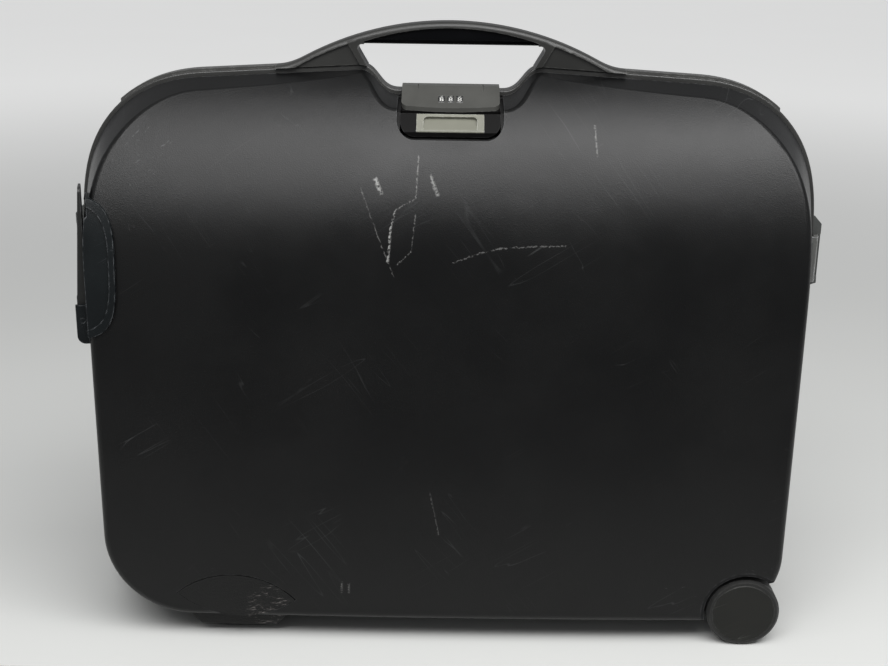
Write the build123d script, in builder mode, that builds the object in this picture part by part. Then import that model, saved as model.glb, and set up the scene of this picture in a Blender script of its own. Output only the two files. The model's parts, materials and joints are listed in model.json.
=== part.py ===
"""Hard-shell suitcase: two moulded halves, a rim with a carry handle, a number lock, two side
latches, a swing-out pull handle, two wheels, two feet and a lining. Millimetres. X runs along
the case, the lid faces -Y, Z is up and the floor is Z = 0. The halves part at Y = 0."""
from math import acos, atan2, cos, degrees, hypot, radians, sin, sqrt
import os

from build123d import *

os.makedirs("parts", exist_ok=True)

# Clearances between moving pieces, in a running bore, and a cut past a face
FREE = 0.3
RUNNING = 0.05
PAST = 5.0

# Case halves: the outline at the parting plane, seen from the front
CASE_HALF_WIDTH = 358.0
CASE_TOP = 564.0
CASE_BOTTOM = 18.0
WALL = 3.2
FOOT_RADIUS = 44.0
WHEEL_CORNER_RADIUS = 43.0
SHOULDER_DROP = 164.0
SHOULDER_IN = 28.0
SHOULDER_DOWN = 53.0
TOP_START_IN = 118.0
TOP_START_DOWN = 9.0
DIP_START = 88.0
DIP_END = 50.0
DIP_DEPTH = 23.0
DIP_TOP = CASE_TOP - DIP_DEPTH

# How far the outline draws in at the reference depth of the face
FACE_REACH = 100.0
SIDE_DRAFT = 22.0
TOP_DRAFT = 45.0
BOTTOM_DRAFT = 9.0
SHOULDER_DROP_DRAFT = 5.0
SHOULDER_IN_DRAFT = 2.0
SHOULDER_DOWN_DRAFT = -20.0
TOP_START_IN_DRAFT = -20.0
TOP_START_DOWN_DRAFT = -4.0
FOOT_RADIUS_DRAFT = 48.0
WHEEL_CORNER_DRAFT = 33.0

# Crowned faces
CROWN_DEPTH = 104.0
CROWN_TURN_DROP = 214.0
CROWN_MIDDLE_DROP = 264.0
CROWN_LOW_RADIUS = 5000.0
CROWN_HIGH_RADIUS = 300.0
CROWN_SIDE_RADIUS = 8000.0
CROWN_TOP_DROP = 34.0
CROWN_TOP_RADIUS = 62.0
CROWN_SPREAD = 62.0
CROWN_SECTIONS = 11
EDGE_ROUND = 7.0
CROWN_TURN = CASE_TOP - CROWN_TURN_DROP
CROWN_MIDDLE = CASE_TOP - CROWN_MIDDLE_DROP
CROWN_TOP = CASE_TOP - CROWN_TOP_DROP

# Parting joint: lid edge, gasket and rim
LID_EDGE = 1.0
BACK_EDGE = 2.2
RIM_DEPTH = 24.0
RIM_PROUD = 4.0
RIM_ROUND = 1.6
GROOVE_DEPTH = 0.8
GROOVE_NEAR = 11.0
GROOVE_WIDTH = 1.6
GASKET_INSET = 2.5
GASKET_WIDTH = 3.5
TRIM_PROUD = 2.4
TRIM_NEAR = 7.0
TRIM_FAR = 22.0
TRIM_END = 319.0
RIM_TOP = CASE_TOP + RIM_PROUD

# Carry handle
HANDLE_HALF = 152.0
ARCH_TURN = 140.0
HANDLE_END = 168.0
HANDLE_RISE = 45.0
HANDLE_NEAR = -2.0
HANDLE_FAR = 27.0
GRIP_THICK = 21.5
GAP_HALF = 92.0
GAP_FOOT_HALF = 62.0
GAP_ROUND = 4.0
HANDLE_ROUND = 5.0
HANDLE_TOP = CASE_TOP + HANDLE_RISE
GRIP_UNDER = HANDLE_TOP - GRIP_THICK
GUSSET_DEPTH = 2.5
GUSSET_LIP = 6.2
GUSSET_BAND = 5.0
GUSSET_TIP = 149.0
GUSSET_FOOT = 8.0
GUSSET_ROUND = 1.0
BAND_THICK = 5.5
PAD_HALF = 83.0
PAD_TIP = 2.5
PAD_INSET = 2.5
PAD_ROUND = 7.0
LUG_X = 118.0
LUG_WIDTH = 12.0
LUG_RISE = 12.0
LUG_NEAR = 8.0
LUG_FAR = 18.0
SCREW_RADIUS = 2.0
SCREW_HEAD_RADIUS = 4.0
SCREW_HEAD = 3.0

# Wheels, one at the lid's lower right corner and one behind it
WHEEL_RADIUS = 36.5
WHEEL_X = 304.0
WHEEL_FACE = 92.0
WHEEL_WIDTH = 24.0
WHEEL_ROUND = 2.5
ARCH_GAP = 4.0
ARCH_RISE = 2.0
WELL_WALL = 3.0
WELL_GAP = 4.0
CORNER_CUT = 71.0
CAP_RADIUS = 31.0
CAP_THICK = 6.0
CAP_PROUD = 0.6
HUB_RADIUS = 14.0
AXLE_RADIUS = 4.0
AXLE_HEAD_RADIUS = 5.0
AXLE_HEAD = 3.0
WELL_FLOOR = WHEEL_FACE - WHEEL_WIDTH - WELL_GAP

# Feet
FOOT_X = -208.0
FOOT_HALF = 60.0
FOOT_TIP_LEFT = 52.0
FOOT_TIP_RIGHT = 47.0
FOOT_CREST = 74.0
FOOT_NEAR = 45.0
FOOT_INLAY = 2.0
FOOT_PROUD = 0.6
FOOT_SEAM = 0.5
FOOT_SINK = 3.0
FOOT_CHIN = 27.0
FOOT_CHIN_NEAR = 82.0
SKID_LIP = 27.0
SKID_SOLE = 66.0

# Hinges under the case
HINGE_X = 150.0
HINGE_Y = 0.6
HINGE_RADIUS = 4.0
HINGE_DROP = 10.0
HINGE_PIN_RADIUS = 2.0
HINGE_HALF = 30.0
KNUCKLE_HALF = 12.0
LEAF_THICK = 3.0
LEAF_REACH = 28.0
LEAF_START = 5.2
RIVET_RADIUS = 3.0
RIVET_HEAD = 1.2
HINGE_Z = CASE_BOTTOM - HINGE_DROP

# Number lock in the lid, measured from the rim's dip: Y to the back, rise above the dip
LOCK_HALF = 47.0
LOCK_GAP = 3.0
LOCK_CORNER = 14.0
LOCK_DEEP = 31.5
COVER_HALF = 46.5
COVER_BACK = 12.0
COVER_BACK_RISE = 9.0
COVER_KNEE_RISE = 8.4
COVER_NOSE = 29.5
COVER_NOSE_DROP = 8.5
COVER_THICK = 3.5
COVER_BULGE = 3.0
COVER_CORNER = 6.0
PANEL_HALF = 31.0
PANEL_FRONT = 9.0
PANEL_BACK = 8.0
PANEL_LINE = 0.9
LOCK_BACK = 1.3
FRONT_TOP = (-41.5, -12.3)
FRONT_LOW = (-56.5, -27.2)
LEDGE_DROP = 2.0
LEVER_HALF = 31.5
LEVER_THICK = 5.0
LEVER_HINGE_RADIUS = 2.5
LEVER_PIN_RADIUS = 1.5
LEVER_PIN_HALF = 36.0
SCOOP_HALF = 25.0
SCOOP_START = 3.2
SCOOP_END = 18.5
SCOOP_DEPTH = 3.3
SCOOP_ROUND = 4.0
DIAL_RADIUS = 9.0
DIAL_WIDTH = 5.6
DIAL_PITCH = 8.6
DIAL_PROUD = 1.2
DIAL_BACK = 18.0
DIAL_NOTCHES = 10
DIAL_NOTCH = 0.9
DIAL_AXLE_RADIUS = 1.5
DIAL_ROOM_HALF = 15.0
HOOK_PIN = (-34.0, -26.0)
HOOK_HALF = 6.5
HOOK_THICK = 3.0
HOOK_TIP = -6.0
HOOK_NOSE = 1.6
HOOK_NOSE_LENGTH = 4.0
HOOK_PIN_RADIUS = 1.2
STRIKE_HALF = 8.0
STRIKE_THICK = 3.0
STRIKE_TIP = -13.0
STRIKE_BACK = 8.0
SPRING_THICK = 0.6

# Side latches on the rim
LATCH_LOW = 355.0
LATCH_HEIGHT = 71.0
LATCH_PROUD = 8.0
LATCH_FLARE = 7.5
LATCH_BACK = 32.0
LATCH_BACK_WALL = 8.0
LATCH_TOP_WALL = 18.0
LATCH_BOTTOM_WALL = 6.5
LATCH_BEVEL_LOW = 5.5
LATCH_BEVEL_HIGH = 16.0
LATCH_TOP_PROUD = 1.0
LATCH_LEVER_THICK = 5.0
LATCH_LEVER_TIP = -8.0
LATCH_CLAW_IN = 3.9
LATCH_CLAW = 4.0
LATCH_PIN_RADIUS = 1.5
LATCH_STRIKE_NEAR = 2.0
LATCH_STRIKE_FAR = 14.0
LATCH_STRIKE_CLEAR = 4.0
LATCH_GAP = 0.5
LATCH_NEAR = 4.4
LATCH_PIN_GRIP = 4.0

# Pull handle at the left of the lid
PULL_LOW = 323.0
PULL_HIGH = 452.0
PULL_RIGHT = -309.0
PULL_PROUD = 4.0
PULL_SIDE_PROUD = 1.2
PULL_RIM = 5.5
PULL_BEND_IN = 11.0
PULL_BEND_UP = 8.0
PULL_TRAY = 1.8
PULL_DEPTH = 74.0
PULL_WIDTH = 26.0
PULL_TOP = 463.0
PULL_TIP = 2.0
PULL_TIP_ROUND = 6.0
PULL_PIVOT_RISE = 14.0
PULL_PIN_RADIUS = 2.5
PULL_END_RADIUS = 5.2
PULL_CHEEK = 4.0
CHEEK_UP = 15.0
CHEEK_DOWN = 23.0
CHEEK_PROUD = 0.6
CHEEK_ROUND = 8.0
CHEEK_TOP_ROUND = 3.0

# Lining and packing straps
LINING_THICK = 1.6
LINING_EDGE = 5.0
STRAP_THICK = 1.4
STRAP_WIDTH = 36.0
STRAP_X = 112.0
BUCKLE_HALF_WIDTH = 23.0
BUCKLE_HALF_HEIGHT = 30.0
BUCKLE_THICK = 6.0
BUCKLE_ROUND = 2.0
BUCKLE_Z = 280.0


def save(name, solid):
    """Label a finished piece and write it."""
    solid.label = name
    export_step(solid, f"parts/{name}.step")


def drafted(near, draft, depth):
    """A size that changes evenly from the parting plane to the reference depth."""
    return near + draft * depth / FACE_REACH


def case_outline(side, depth, inset, place=None):
    """The case's outline at a depth from the parting plane, drawn at that depth or another."""
    place = depth if place is None else place
    half = drafted(CASE_HALF_WIDTH, -SIDE_DRAFT, depth) - inset
    top = drafted(CASE_TOP, -TOP_DRAFT, depth) - inset
    bottom = drafted(CASE_BOTTOM, BOTTOM_DRAFT, depth) + inset
    side_top = top + inset - drafted(SHOULDER_DROP, SHOULDER_DROP_DRAFT, depth)
    slant = (1 - sqrt(0.5)) * inset
    corner_x = half - drafted(SHOULDER_IN, SHOULDER_IN_DRAFT, depth) + slant
    corner_z = top - drafted(SHOULDER_DOWN, SHOULDER_DOWN_DRAFT, depth) + slant
    start_x = half + inset - drafted(TOP_START_IN, TOP_START_IN_DRAFT, depth)
    start_z = top - drafted(TOP_START_DOWN, TOP_START_DOWN_DRAFT, depth)
    dip = top - drafted(DIP_DEPTH, -DIP_DEPTH, depth)
    corners = {-1: drafted(FOOT_RADIUS, FOOT_RADIUS_DRAFT, depth) - inset,
               1: drafted(WHEEL_CORNER_RADIUS, WHEEL_CORNER_DRAFT, depth) - inset}
    run, rise = start_x - DIP_START, top - start_z
    with BuildSketch(Plane.XZ.offset(-side * place)) as section:
        with BuildLine():
            Line((corners[-1] - half, bottom), (half - corners[1], bottom))
            for way, foot in corners.items():
                bend = foot * (1 - sqrt(0.5))
                Line((way * half, bottom + foot), (way * half, side_top))
                ThreePointArc((way * (half - foot), bottom),
                              (way * (half - bend), bottom + bend), (way * half, bottom + foot))
                Spline((way * half, side_top), (way * corner_x, corner_z),
                       (way * start_x, start_z), tangents=((0, 1), (-way * run, rise)))
                Line((way * start_x, start_z), (way * DIP_START, top))
                Spline((way * DIP_START, top), (way * DIP_END, dip),
                       tangents=((-way * run, rise), (-way, 0)))
            Line((-DIP_END, dip), (DIP_END, dip))
        make_face()
    return section.sketch


def crown_depth(height):
    """How far the middle of a crowned face stands from the parting plane at a height."""
    low = min(height, CROWN_TURN)
    depth = CROWN_DEPTH - (low - CROWN_MIDDLE) ** 2 / (2 * CROWN_LOW_RADIUS)
    rise = max(height - CROWN_TURN, 0)
    turn = CROWN_HIGH_RADIUS - sqrt(CROWN_HIGH_RADIUS ** 2 - rise ** 2)
    lean = (CROWN_TURN - CROWN_MIDDLE) / CROWN_LOW_RADIUS * rise
    dip = max(height - CROWN_TOP, 0) ** 2 / (2 * CROWN_TOP_RADIUS)
    return depth - turn - lean - dip


def crown_body(side, inset):
    """A block as wide as the case with the crowned face on its outer side."""
    reach = CASE_HALF_WIDTH + CROWN_SPREAD
    sag = reach ** 2 / (2 * CROWN_SIDE_RADIUS)
    low, high = CASE_BOTTOM - CROWN_SPREAD, CASE_TOP + CROWN_SPREAD / 4
    sections = []
    for index in range(CROWN_SECTIONS):
        height = low + (high - low) * sin(radians(90 * index / (CROWN_SECTIONS - 1)))
        middle = crown_depth(height) - inset
        edge = (reach, side * (middle - sag))
        with BuildSketch(Plane.XY.offset(height)) as section:
            with BuildLine():
                ThreePointArc((-edge[0], edge[1]), (0, side * middle), edge)
                Polyline(edge, (reach, -side * CROWN_DEPTH), (-reach, -side * CROWN_DEPTH),
                         (-edge[0], edge[1]))
            make_face()
        sections.append(section.sketch)
    with BuildPart() as crown:
        loft(sections)
    return crown.part


def case_half(side, inset, edge, rounded=0.0):
    """The solid that fills one half of the case, from its edge to its crowned face."""
    sections = [case_outline(side, depth, inset) for depth in (edge, CROWN_DEPTH + PAST)]
    crown = crown_body(side, inset)
    with BuildPart() as half:
        loft(sections, ruled=True)
        add(crown, mode=Mode.INTERSECT)
        if rounded:
            face = half.faces().sort_by(Axis.Y)[0 if side < 0 else -1]
            fillet(face.edges(), rounded)
    return half.part


def outline_ring(outer, inner, near, far):
    """A straight ring that follows the parting outline, between two depths behind it."""
    outer_face = case_outline(1, 0, outer, near)
    inner_face = case_outline(1, 0, inner, near)
    with BuildPart() as ring:
        extrude(outer_face, amount=near - far)
        extrude(inner_face, amount=near - far, mode=Mode.SUBTRACT)
    return ring.part


def front_plane(side, depth):
    """A plane parallel to the face of a half, at a depth from the parting plane."""
    return Plane.XZ.offset(-side * depth)


def well_space(side, grow):
    """The room for a wheel and the cut-away corner beside it."""
    near = WELL_FLOOR - grow
    with BuildPart() as space:
        with BuildSketch(front_plane(side, near)):
            with Locations((WHEEL_X, WHEEL_RADIUS + ARCH_RISE)):
                Circle(WHEEL_RADIUS + ARCH_GAP + grow)
            with Locations((WHEEL_X, CORNER_CUT + grow)):
                Rectangle(CASE_HALF_WIDTH, CORNER_CUT + 2 * grow, align=(Align.MIN, Align.MAX))
        extrude(amount=-side * (CROWN_DEPTH + PAST - near))
    return space.part


def foot_prism(side, seam):
    """The eye-shaped outline of a foot, drawn through the case's lower edge."""
    left = (FOOT_X - FOOT_HALF + 2 * seam, FOOT_TIP_LEFT)
    right = (FOOT_X + FOOT_HALF - 2 * seam, FOOT_TIP_RIGHT)
    with BuildPart() as prism:
        with BuildSketch(front_plane(side, FOOT_NEAR)):
            with BuildLine():
                ThreePointArc(left, (FOOT_X, FOOT_CREST - seam), right)
                ThreePointArc(right, (FOOT_X, -FOOT_SINK), left)
            make_face()
        extrude(amount=-side * (CROWN_DEPTH + PAST - FOOT_NEAR))
        split(bisect_by=Plane.XY, keep=Keep.TOP)
        with BuildSketch(front_plane(side, FOOT_CHIN_NEAR - seam)):
            with BuildLine():
                ThreePointArc(left, (FOOT_X, FOOT_CHIN + seam), right)
                Polyline(right, (right[0], -FOOT_SINK), (left[0], -FOOT_SINK), left)
            make_face()
        extrude(amount=-side * (CROWN_DEPTH + PAST), mode=Mode.SUBTRACT)
    return prism.part


def lock_outline(grow, low):
    """The lock's width with its rounded lower corners, open upwards, as a prism."""
    with BuildPart() as prism:
        with BuildSketch(front_plane(-1, LID_EDGE)) as face:
            with Locations((0, low)):
                Rectangle(2 * (LOCK_HALF + grow), CASE_TOP - low + PAST,
                          align=(Align.CENTER, Align.MIN))
            fillet(face.vertices().group_by(Axis.Y)[0], LOCK_CORNER + grow)
        extrude(amount=CROWN_DEPTH)
    return prism.part


def yz_block(half, points, x=0.0, round_at=None, radius=0.0):
    """A profile in the YZ plane, drawn out by equal amounts to both sides of a place in X."""
    with BuildPart() as block:
        with BuildSketch(Plane.YZ.offset(x)):
            with BuildLine():
                Polyline(points, close=True)
            make_face()
            if round_at:
                with Locations(round_at):
                    Circle(radius)
        extrude(amount=half, both=True)
    return block.part


def x_rod(radius, half, y, z, x=0.0):
    """A rod along X about a place."""
    with BuildPart() as rod:
        with BuildSketch(Plane.YZ.offset(x)):
            with Locations((y, z)):
                Circle(radius)
        extrude(amount=half, both=True)
    return rod.part


print("case solids")
LOCK_LOW = DIP_TOP - LOCK_DEEP
FRONT_SOLID = case_half(-1, 0, LID_EDGE, EDGE_ROUND)
FRONT_HOLLOW = case_half(-1, WALL, -PAST)
BACK_SOLID = case_half(1, 0, BACK_EDGE, EDGE_ROUND)
BACK_HOLLOW = case_half(1, WALL, -PAST)
WELL_ROOMS = {side: well_space(side, WELL_WALL) for side in (-1, 1)}
FOOT_FLOORS = {side: case_half(side, FOOT_INLAY, 0) for side in (-1, 1)}
FOOT_SEATS = {side: foot_prism(side, 0) - FOOT_FLOORS[side] for side in (-1, 1)}
LOCK_WINDOW = lock_outline(LOCK_GAP, LOCK_LOW - LOCK_GAP)


def shell(side, solid, hollow):
    """One moulded half: a thin wall with a wheel well and a shallow seat for its foot."""
    with BuildPart() as half:
        add(solid)
        add(hollow, mode=Mode.SUBTRACT)
        add(WELL_ROOMS[side], mode=Mode.SUBTRACT)
        add(FOOT_SEATS[side], mode=Mode.SUBTRACT)
        if side < 0:
            add(LOCK_WINDOW, mode=Mode.SUBTRACT)
    return half.part


front_shell = shell(-1, FRONT_SOLID, FRONT_HOLLOW)
save("front_shell", front_shell)
back_shell = shell(1, BACK_SOLID, BACK_HOLLOW)
save("back_shell", back_shell)


def wheel_set(side, name):
    """Wheel well, axle, tyre with its hub, and hub cap at one face of the case."""
    solid = FRONT_SOLID if side < 0 else BACK_SOLID
    with BuildPart() as well:
        add(solid)
        add(WELL_ROOMS[side], mode=Mode.INTERSECT)
        add(well_space(side, 0), mode=Mode.SUBTRACT)
        with BuildSketch(front_plane(side, WELL_FLOOR)):
            with Locations((WHEEL_X, WHEEL_RADIUS)):
                Circle(AXLE_RADIUS)
        extrude(amount=side * 2 * WELL_WALL, mode=Mode.SUBTRACT)
    save(f"wheel_well_{name}", well.part)

    centre = Plane(origin=(WHEEL_X, 0, WHEEL_RADIUS), x_dir=(1, 0, 0), z_dir=(0, 0, 1))
    spin = Axis((WHEEL_X, 0, WHEEL_RADIUS), (0, 1, 0))
    floor_back = WELL_FLOOR - WELL_WALL
    cap_back = WHEEL_FACE - CAP_THICK
    inner = WHEEL_FACE - WHEEL_WIDTH

    def turned(points):
        with BuildPart() as body:
            with BuildSketch(centre):
                with BuildLine():
                    Polyline([(radius, side * depth) for radius, depth in points], close=True)
                make_face()
            revolve(axis=spin)
        return body.part

    axle_tip = cap_back - FREE
    save(f"wheel_axle_{name}", turned([
        (0, floor_back - AXLE_HEAD), (AXLE_HEAD_RADIUS, floor_back - AXLE_HEAD),
        (AXLE_HEAD_RADIUS, floor_back), (AXLE_RADIUS, floor_back),
        (AXLE_RADIUS, axle_tip), (0, axle_tip)]))
    save(f"wheel_tyre_{name}", turned([
        (HUB_RADIUS, inner), (WHEEL_RADIUS - WHEEL_ROUND, inner),
        (WHEEL_RADIUS, inner + WHEEL_ROUND), (WHEEL_RADIUS, WHEEL_FACE - WHEEL_ROUND),
        (WHEEL_RADIUS - WHEEL_ROUND, WHEEL_FACE), (CAP_RADIUS, WHEEL_FACE),
        (CAP_RADIUS, cap_back), (HUB_RADIUS, cap_back)]))
    save(f"wheel_hub_{name}", turned([
        (AXLE_RADIUS + RUNNING, inner - WELL_GAP + FREE), (HUB_RADIUS, inner - WELL_GAP + FREE),
        (HUB_RADIUS, cap_back), (CAP_RADIUS, cap_back), (CAP_RADIUS, WHEEL_FACE),
        (CAP_RADIUS - CAP_PROUD, WHEEL_FACE + CAP_PROUD), (0, WHEEL_FACE + CAP_PROUD),
        (0, cap_back), (AXLE_RADIUS + RUNNING, cap_back)]))


print("wheels")
for SIDE, NAME in ((-1, "front"), (1, "back")):
    wheel_set(SIDE, NAME)


def foot(side, name):
    """A replaceable foot: an inlay on the face that thickens to a skid under the case."""
    crown = crown_body(side, -FOOT_PROUD)
    with BuildPart() as skid:
        add(foot_prism(side, FOOT_SEAM))
        add(crown, mode=Mode.INTERSECT)
        add(FOOT_FLOORS[side], mode=Mode.SUBTRACT)
        add(yz_block(2 * FOOT_HALF, [(side * SKID_SOLE, 0), (side * CROWN_DEPTH, SKID_LIP),
                                     (side * 2 * CROWN_DEPTH, SKID_LIP),
                                     (side * 2 * CROWN_DEPTH, -PAST), (side * SKID_SOLE, -PAST)],
                     FOOT_X), mode=Mode.SUBTRACT)
    save(f"foot_{name}", skid.part)


print("feet")
for SIDE, NAME in ((-1, "front"), (1, "back")):
    foot(SIDE, NAME)

print("rim")
RIM_BLOCK_FACE = case_outline(1, 0, -RIM_PROUD, BACK_EDGE)
with BuildPart() as rim_block:
    extrude(RIM_BLOCK_FACE, amount=BACK_EDGE - RIM_DEPTH)
    fillet(rim_block.faces().sort_by(SortBy.AREA)[-2:].edges(), RIM_ROUND)
with BuildPart() as rim_frame:
    add(rim_block.part)
    add(BACK_SOLID, mode=Mode.SUBTRACT)
    add(outline_ring(-RIM_PROUD - PAST, -RIM_PROUD + GROOVE_DEPTH, GROOVE_NEAR,
                     GROOVE_NEAR + GROOVE_WIDTH), mode=Mode.SUBTRACT)
    with BuildSketch(front_plane(1, LUG_NEAR)):
        with Locations((LUG_X, RIM_TOP + LUG_RISE), (-LUG_X, RIM_TOP + LUG_RISE)):
            Rectangle(LUG_WIDTH, LUG_RISE + RIM_PROUD, align=(Align.CENTER, Align.MAX))
    extrude(amount=LUG_NEAR - LUG_FAR)
    with BuildSketch(front_plane(1, LUG_NEAR)):
        with Locations((LUG_X, RIM_TOP + LUG_RISE / 2), (-LUG_X, RIM_TOP + LUG_RISE / 2)):
            Circle(SCREW_RADIUS)
    extrude(amount=LUG_NEAR - LUG_FAR, mode=Mode.SUBTRACT)
save("rim_frame", rim_frame.part)

rim_gasket = outline_ring(GASKET_INSET, GASKET_INSET + GASKET_WIDTH,
                          FREE - LID_EDGE, BACK_EDGE)
save("rim_gasket", rim_gasket)

for WAY, NAME in ((-1, "left"), (1, "right")):
    with BuildPart() as trim_strip:
        add(outline_ring(-RIM_PROUD - TRIM_PROUD, -RIM_PROUD, TRIM_NEAR, TRIM_FAR))
        with BuildSketch(Plane.XZ):
            with Locations((WAY * HANDLE_END, CASE_TOP - SHOULDER_DROP)):
                Rectangle(TRIM_END - HANDLE_END, 2 * SHOULDER_DROP,
                          align=(Align.MIN if WAY > 0 else Align.MAX, Align.MIN))
        extrude(amount=-2 * TRIM_FAR, mode=Mode.INTERSECT)
    save(f"trim_strip_{NAME}", trim_strip.part)

print("carry handle")
BAND_RADIUS = (HANDLE_HALF ** 2 + (HANDLE_RISE - RIM_PROUD) ** 2) / 2 / (HANDLE_RISE - RIM_PROUD)


def band_height(x):
    """Height of the handle's outer arch over a place along the case."""
    return HANDLE_TOP - BAND_RADIUS + sqrt(BAND_RADIUS ** 2 - x ** 2)


ARCH_SLOPE = -ARCH_TURN / sqrt(BAND_RADIUS ** 2 - ARCH_TURN ** 2)
RIM_SLOPE = -TOP_START_DOWN / (CASE_HALF_WIDTH - TOP_START_IN - DIP_START)
END_Z = RIM_TOP + TRIM_PROUD + RIM_SLOPE * (HANDLE_END - DIP_START)
GAP_LEAN = (GAP_HALF - GAP_FOOT_HALF) / (GRIP_UNDER - DIP_TOP + PAST)


def gap_side(height):
    """Half the width of the hand's gap at a height."""
    return GAP_HALF + (height - GRIP_UNDER) * GAP_LEAN


with BuildPart() as grip_room:
    with BuildSketch(front_plane(1, HANDLE_NEAR - PAST)):
        with BuildLine():
            under = [(-PAD_HALF, GRIP_UNDER + PAD_TIP), (0, HANDLE_TOP - BAND_THICK),
                     (PAD_HALF, GRIP_UNDER + PAD_TIP)]
            ThreePointArc(*under)
            Polyline(under[2], (PAD_HALF, GRIP_UNDER), (-PAD_HALF, GRIP_UNDER), under[0])
        make_face()
    extrude(amount=HANDLE_NEAR - HANDLE_FAR - 2 * PAST)

with BuildPart() as carry_handle:
    with BuildSketch(front_plane(1, HANDLE_NEAR)) as arch:
        with BuildLine():
            ThreePointArc((-ARCH_TURN, band_height(ARCH_TURN)), (0, HANDLE_TOP),
                          (ARCH_TURN, band_height(ARCH_TURN)))
            for WAY in (1, -1):
                Spline((WAY * ARCH_TURN, band_height(ARCH_TURN)), (WAY * HANDLE_END, END_Z),
                       tangents=((WAY, ARCH_SLOPE), (WAY, RIM_SLOPE)))
            Polyline((HANDLE_END, END_Z), (HANDLE_END, DIP_TOP), (-HANDLE_END, DIP_TOP),
                     (-HANDLE_END, END_Z))
        make_face()
    extrude(amount=HANDLE_NEAR - HANDLE_FAR)
    fillet(carry_handle.edges().filter_by(GeomType.LINE, reverse=True), HANDLE_ROUND)
    with BuildSketch(front_plane(1, HANDLE_NEAR)) as gap:
        with BuildLine():
            Polyline((-GAP_HALF, GRIP_UNDER), (GAP_HALF, GRIP_UNDER),
                     (GAP_FOOT_HALF, DIP_TOP - PAST), (-GAP_FOOT_HALF, DIP_TOP - PAST), close=True)
        make_face()
        fillet(gap.vertices().group_by(Axis.Y)[-1], GAP_ROUND)
    extrude(amount=HANDLE_NEAR - HANDLE_FAR, mode=Mode.SUBTRACT)
    add(grip_room.part, mode=Mode.SUBTRACT)
    extrude(case_outline(1, 0, -RIM_PROUD, HANDLE_NEAR), amount=HANDLE_NEAR - HANDLE_FAR,
            mode=Mode.SUBTRACT)
    with BuildSketch(front_plane(1, HANDLE_NEAR)) as gusset:
        for WAY in (1, -1):
            low, high = gap_side(RIM_TOP - GUSSET_FOOT), GAP_HALF + GUSSET_LIP
            middle = (high + GUSSET_TIP) / 2
            with BuildLine():
                Line((WAY * (low + GUSSET_LIP), RIM_TOP - GUSSET_FOOT),
                     (WAY * high, band_height(high) - GUSSET_BAND))
                ThreePointArc((WAY * high, band_height(high) - GUSSET_BAND),
                              (WAY * middle, band_height(middle) - GUSSET_BAND),
                              (WAY * GUSSET_TIP, band_height(GUSSET_TIP) - GUSSET_BAND))
                Polyline((WAY * GUSSET_TIP, band_height(GUSSET_TIP) - GUSSET_BAND),
                         (WAY * GUSSET_TIP, RIM_TOP - GUSSET_FOOT),
                         (WAY * (low + GUSSET_LIP), RIM_TOP - GUSSET_FOOT))
            make_face()
        fillet(gusset.vertices().group_by(Axis.Y)[-1], GUSSET_ROUND)
    extrude(amount=-GUSSET_DEPTH, mode=Mode.SUBTRACT)
    with BuildSketch(front_plane(1, HANDLE_FAR)):
        with Locations((LUG_X, RIM_TOP + LUG_RISE / 2), (-LUG_X, RIM_TOP + LUG_RISE / 2)):
            Circle(SCREW_RADIUS)
    extrude(amount=HANDLE_FAR - LUG_NEAR, mode=Mode.SUBTRACT)
    with BuildSketch(front_plane(1, HANDLE_FAR)):
        with Locations((LUG_X, RIM_TOP + LUG_RISE / 2), (-LUG_X, RIM_TOP + LUG_RISE / 2)):
            Circle(SCREW_HEAD_RADIUS)
    extrude(amount=SCREW_HEAD, mode=Mode.SUBTRACT)
    with BuildSketch(front_plane(1, LUG_NEAR)):
        with Locations((LUG_X, RIM_TOP + LUG_RISE), (-LUG_X, RIM_TOP + LUG_RISE)):
            Rectangle(LUG_WIDTH, LUG_RISE + RIM_PROUD, align=(Align.CENTER, Align.MAX))
    extrude(amount=LUG_NEAR - LUG_FAR, mode=Mode.SUBTRACT)
save("carry_handle", carry_handle.part)

with BuildPart() as grip_pad:
    with BuildSketch(Plane.YZ) as grip_face:
        with Locations(((HANDLE_NEAR + HANDLE_FAR) / 2, GRIP_UNDER)):
            Rectangle(HANDLE_FAR - HANDLE_NEAR - 2 * PAD_INSET, GRIP_THICK,
                      align=(Align.CENTER, Align.MIN))
        fillet(grip_face.vertices().group_by(Axis.Y)[0], PAD_ROUND)
    extrude(amount=PAD_HALF, both=True)
    add(grip_room.part, mode=Mode.INTERSECT)
save("grip_pad", grip_pad.part)

with BuildPart() as handle_screws:
    with BuildSketch(front_plane(1, LUG_NEAR)):
        with Locations((LUG_X, RIM_TOP + LUG_RISE / 2), (-LUG_X, RIM_TOP + LUG_RISE / 2)):
            Circle(SCREW_RADIUS)
    extrude(amount=LUG_NEAR - HANDLE_FAR)
    with BuildSketch(front_plane(1, HANDLE_FAR)):
        with Locations((LUG_X, RIM_TOP + LUG_RISE / 2), (-LUG_X, RIM_TOP + LUG_RISE / 2)):
            Circle(SCREW_HEAD_RADIUS)
    extrude(amount=SCREW_HEAD)
save("handle_screws", handle_screws.part)


print("hinges")


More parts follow.
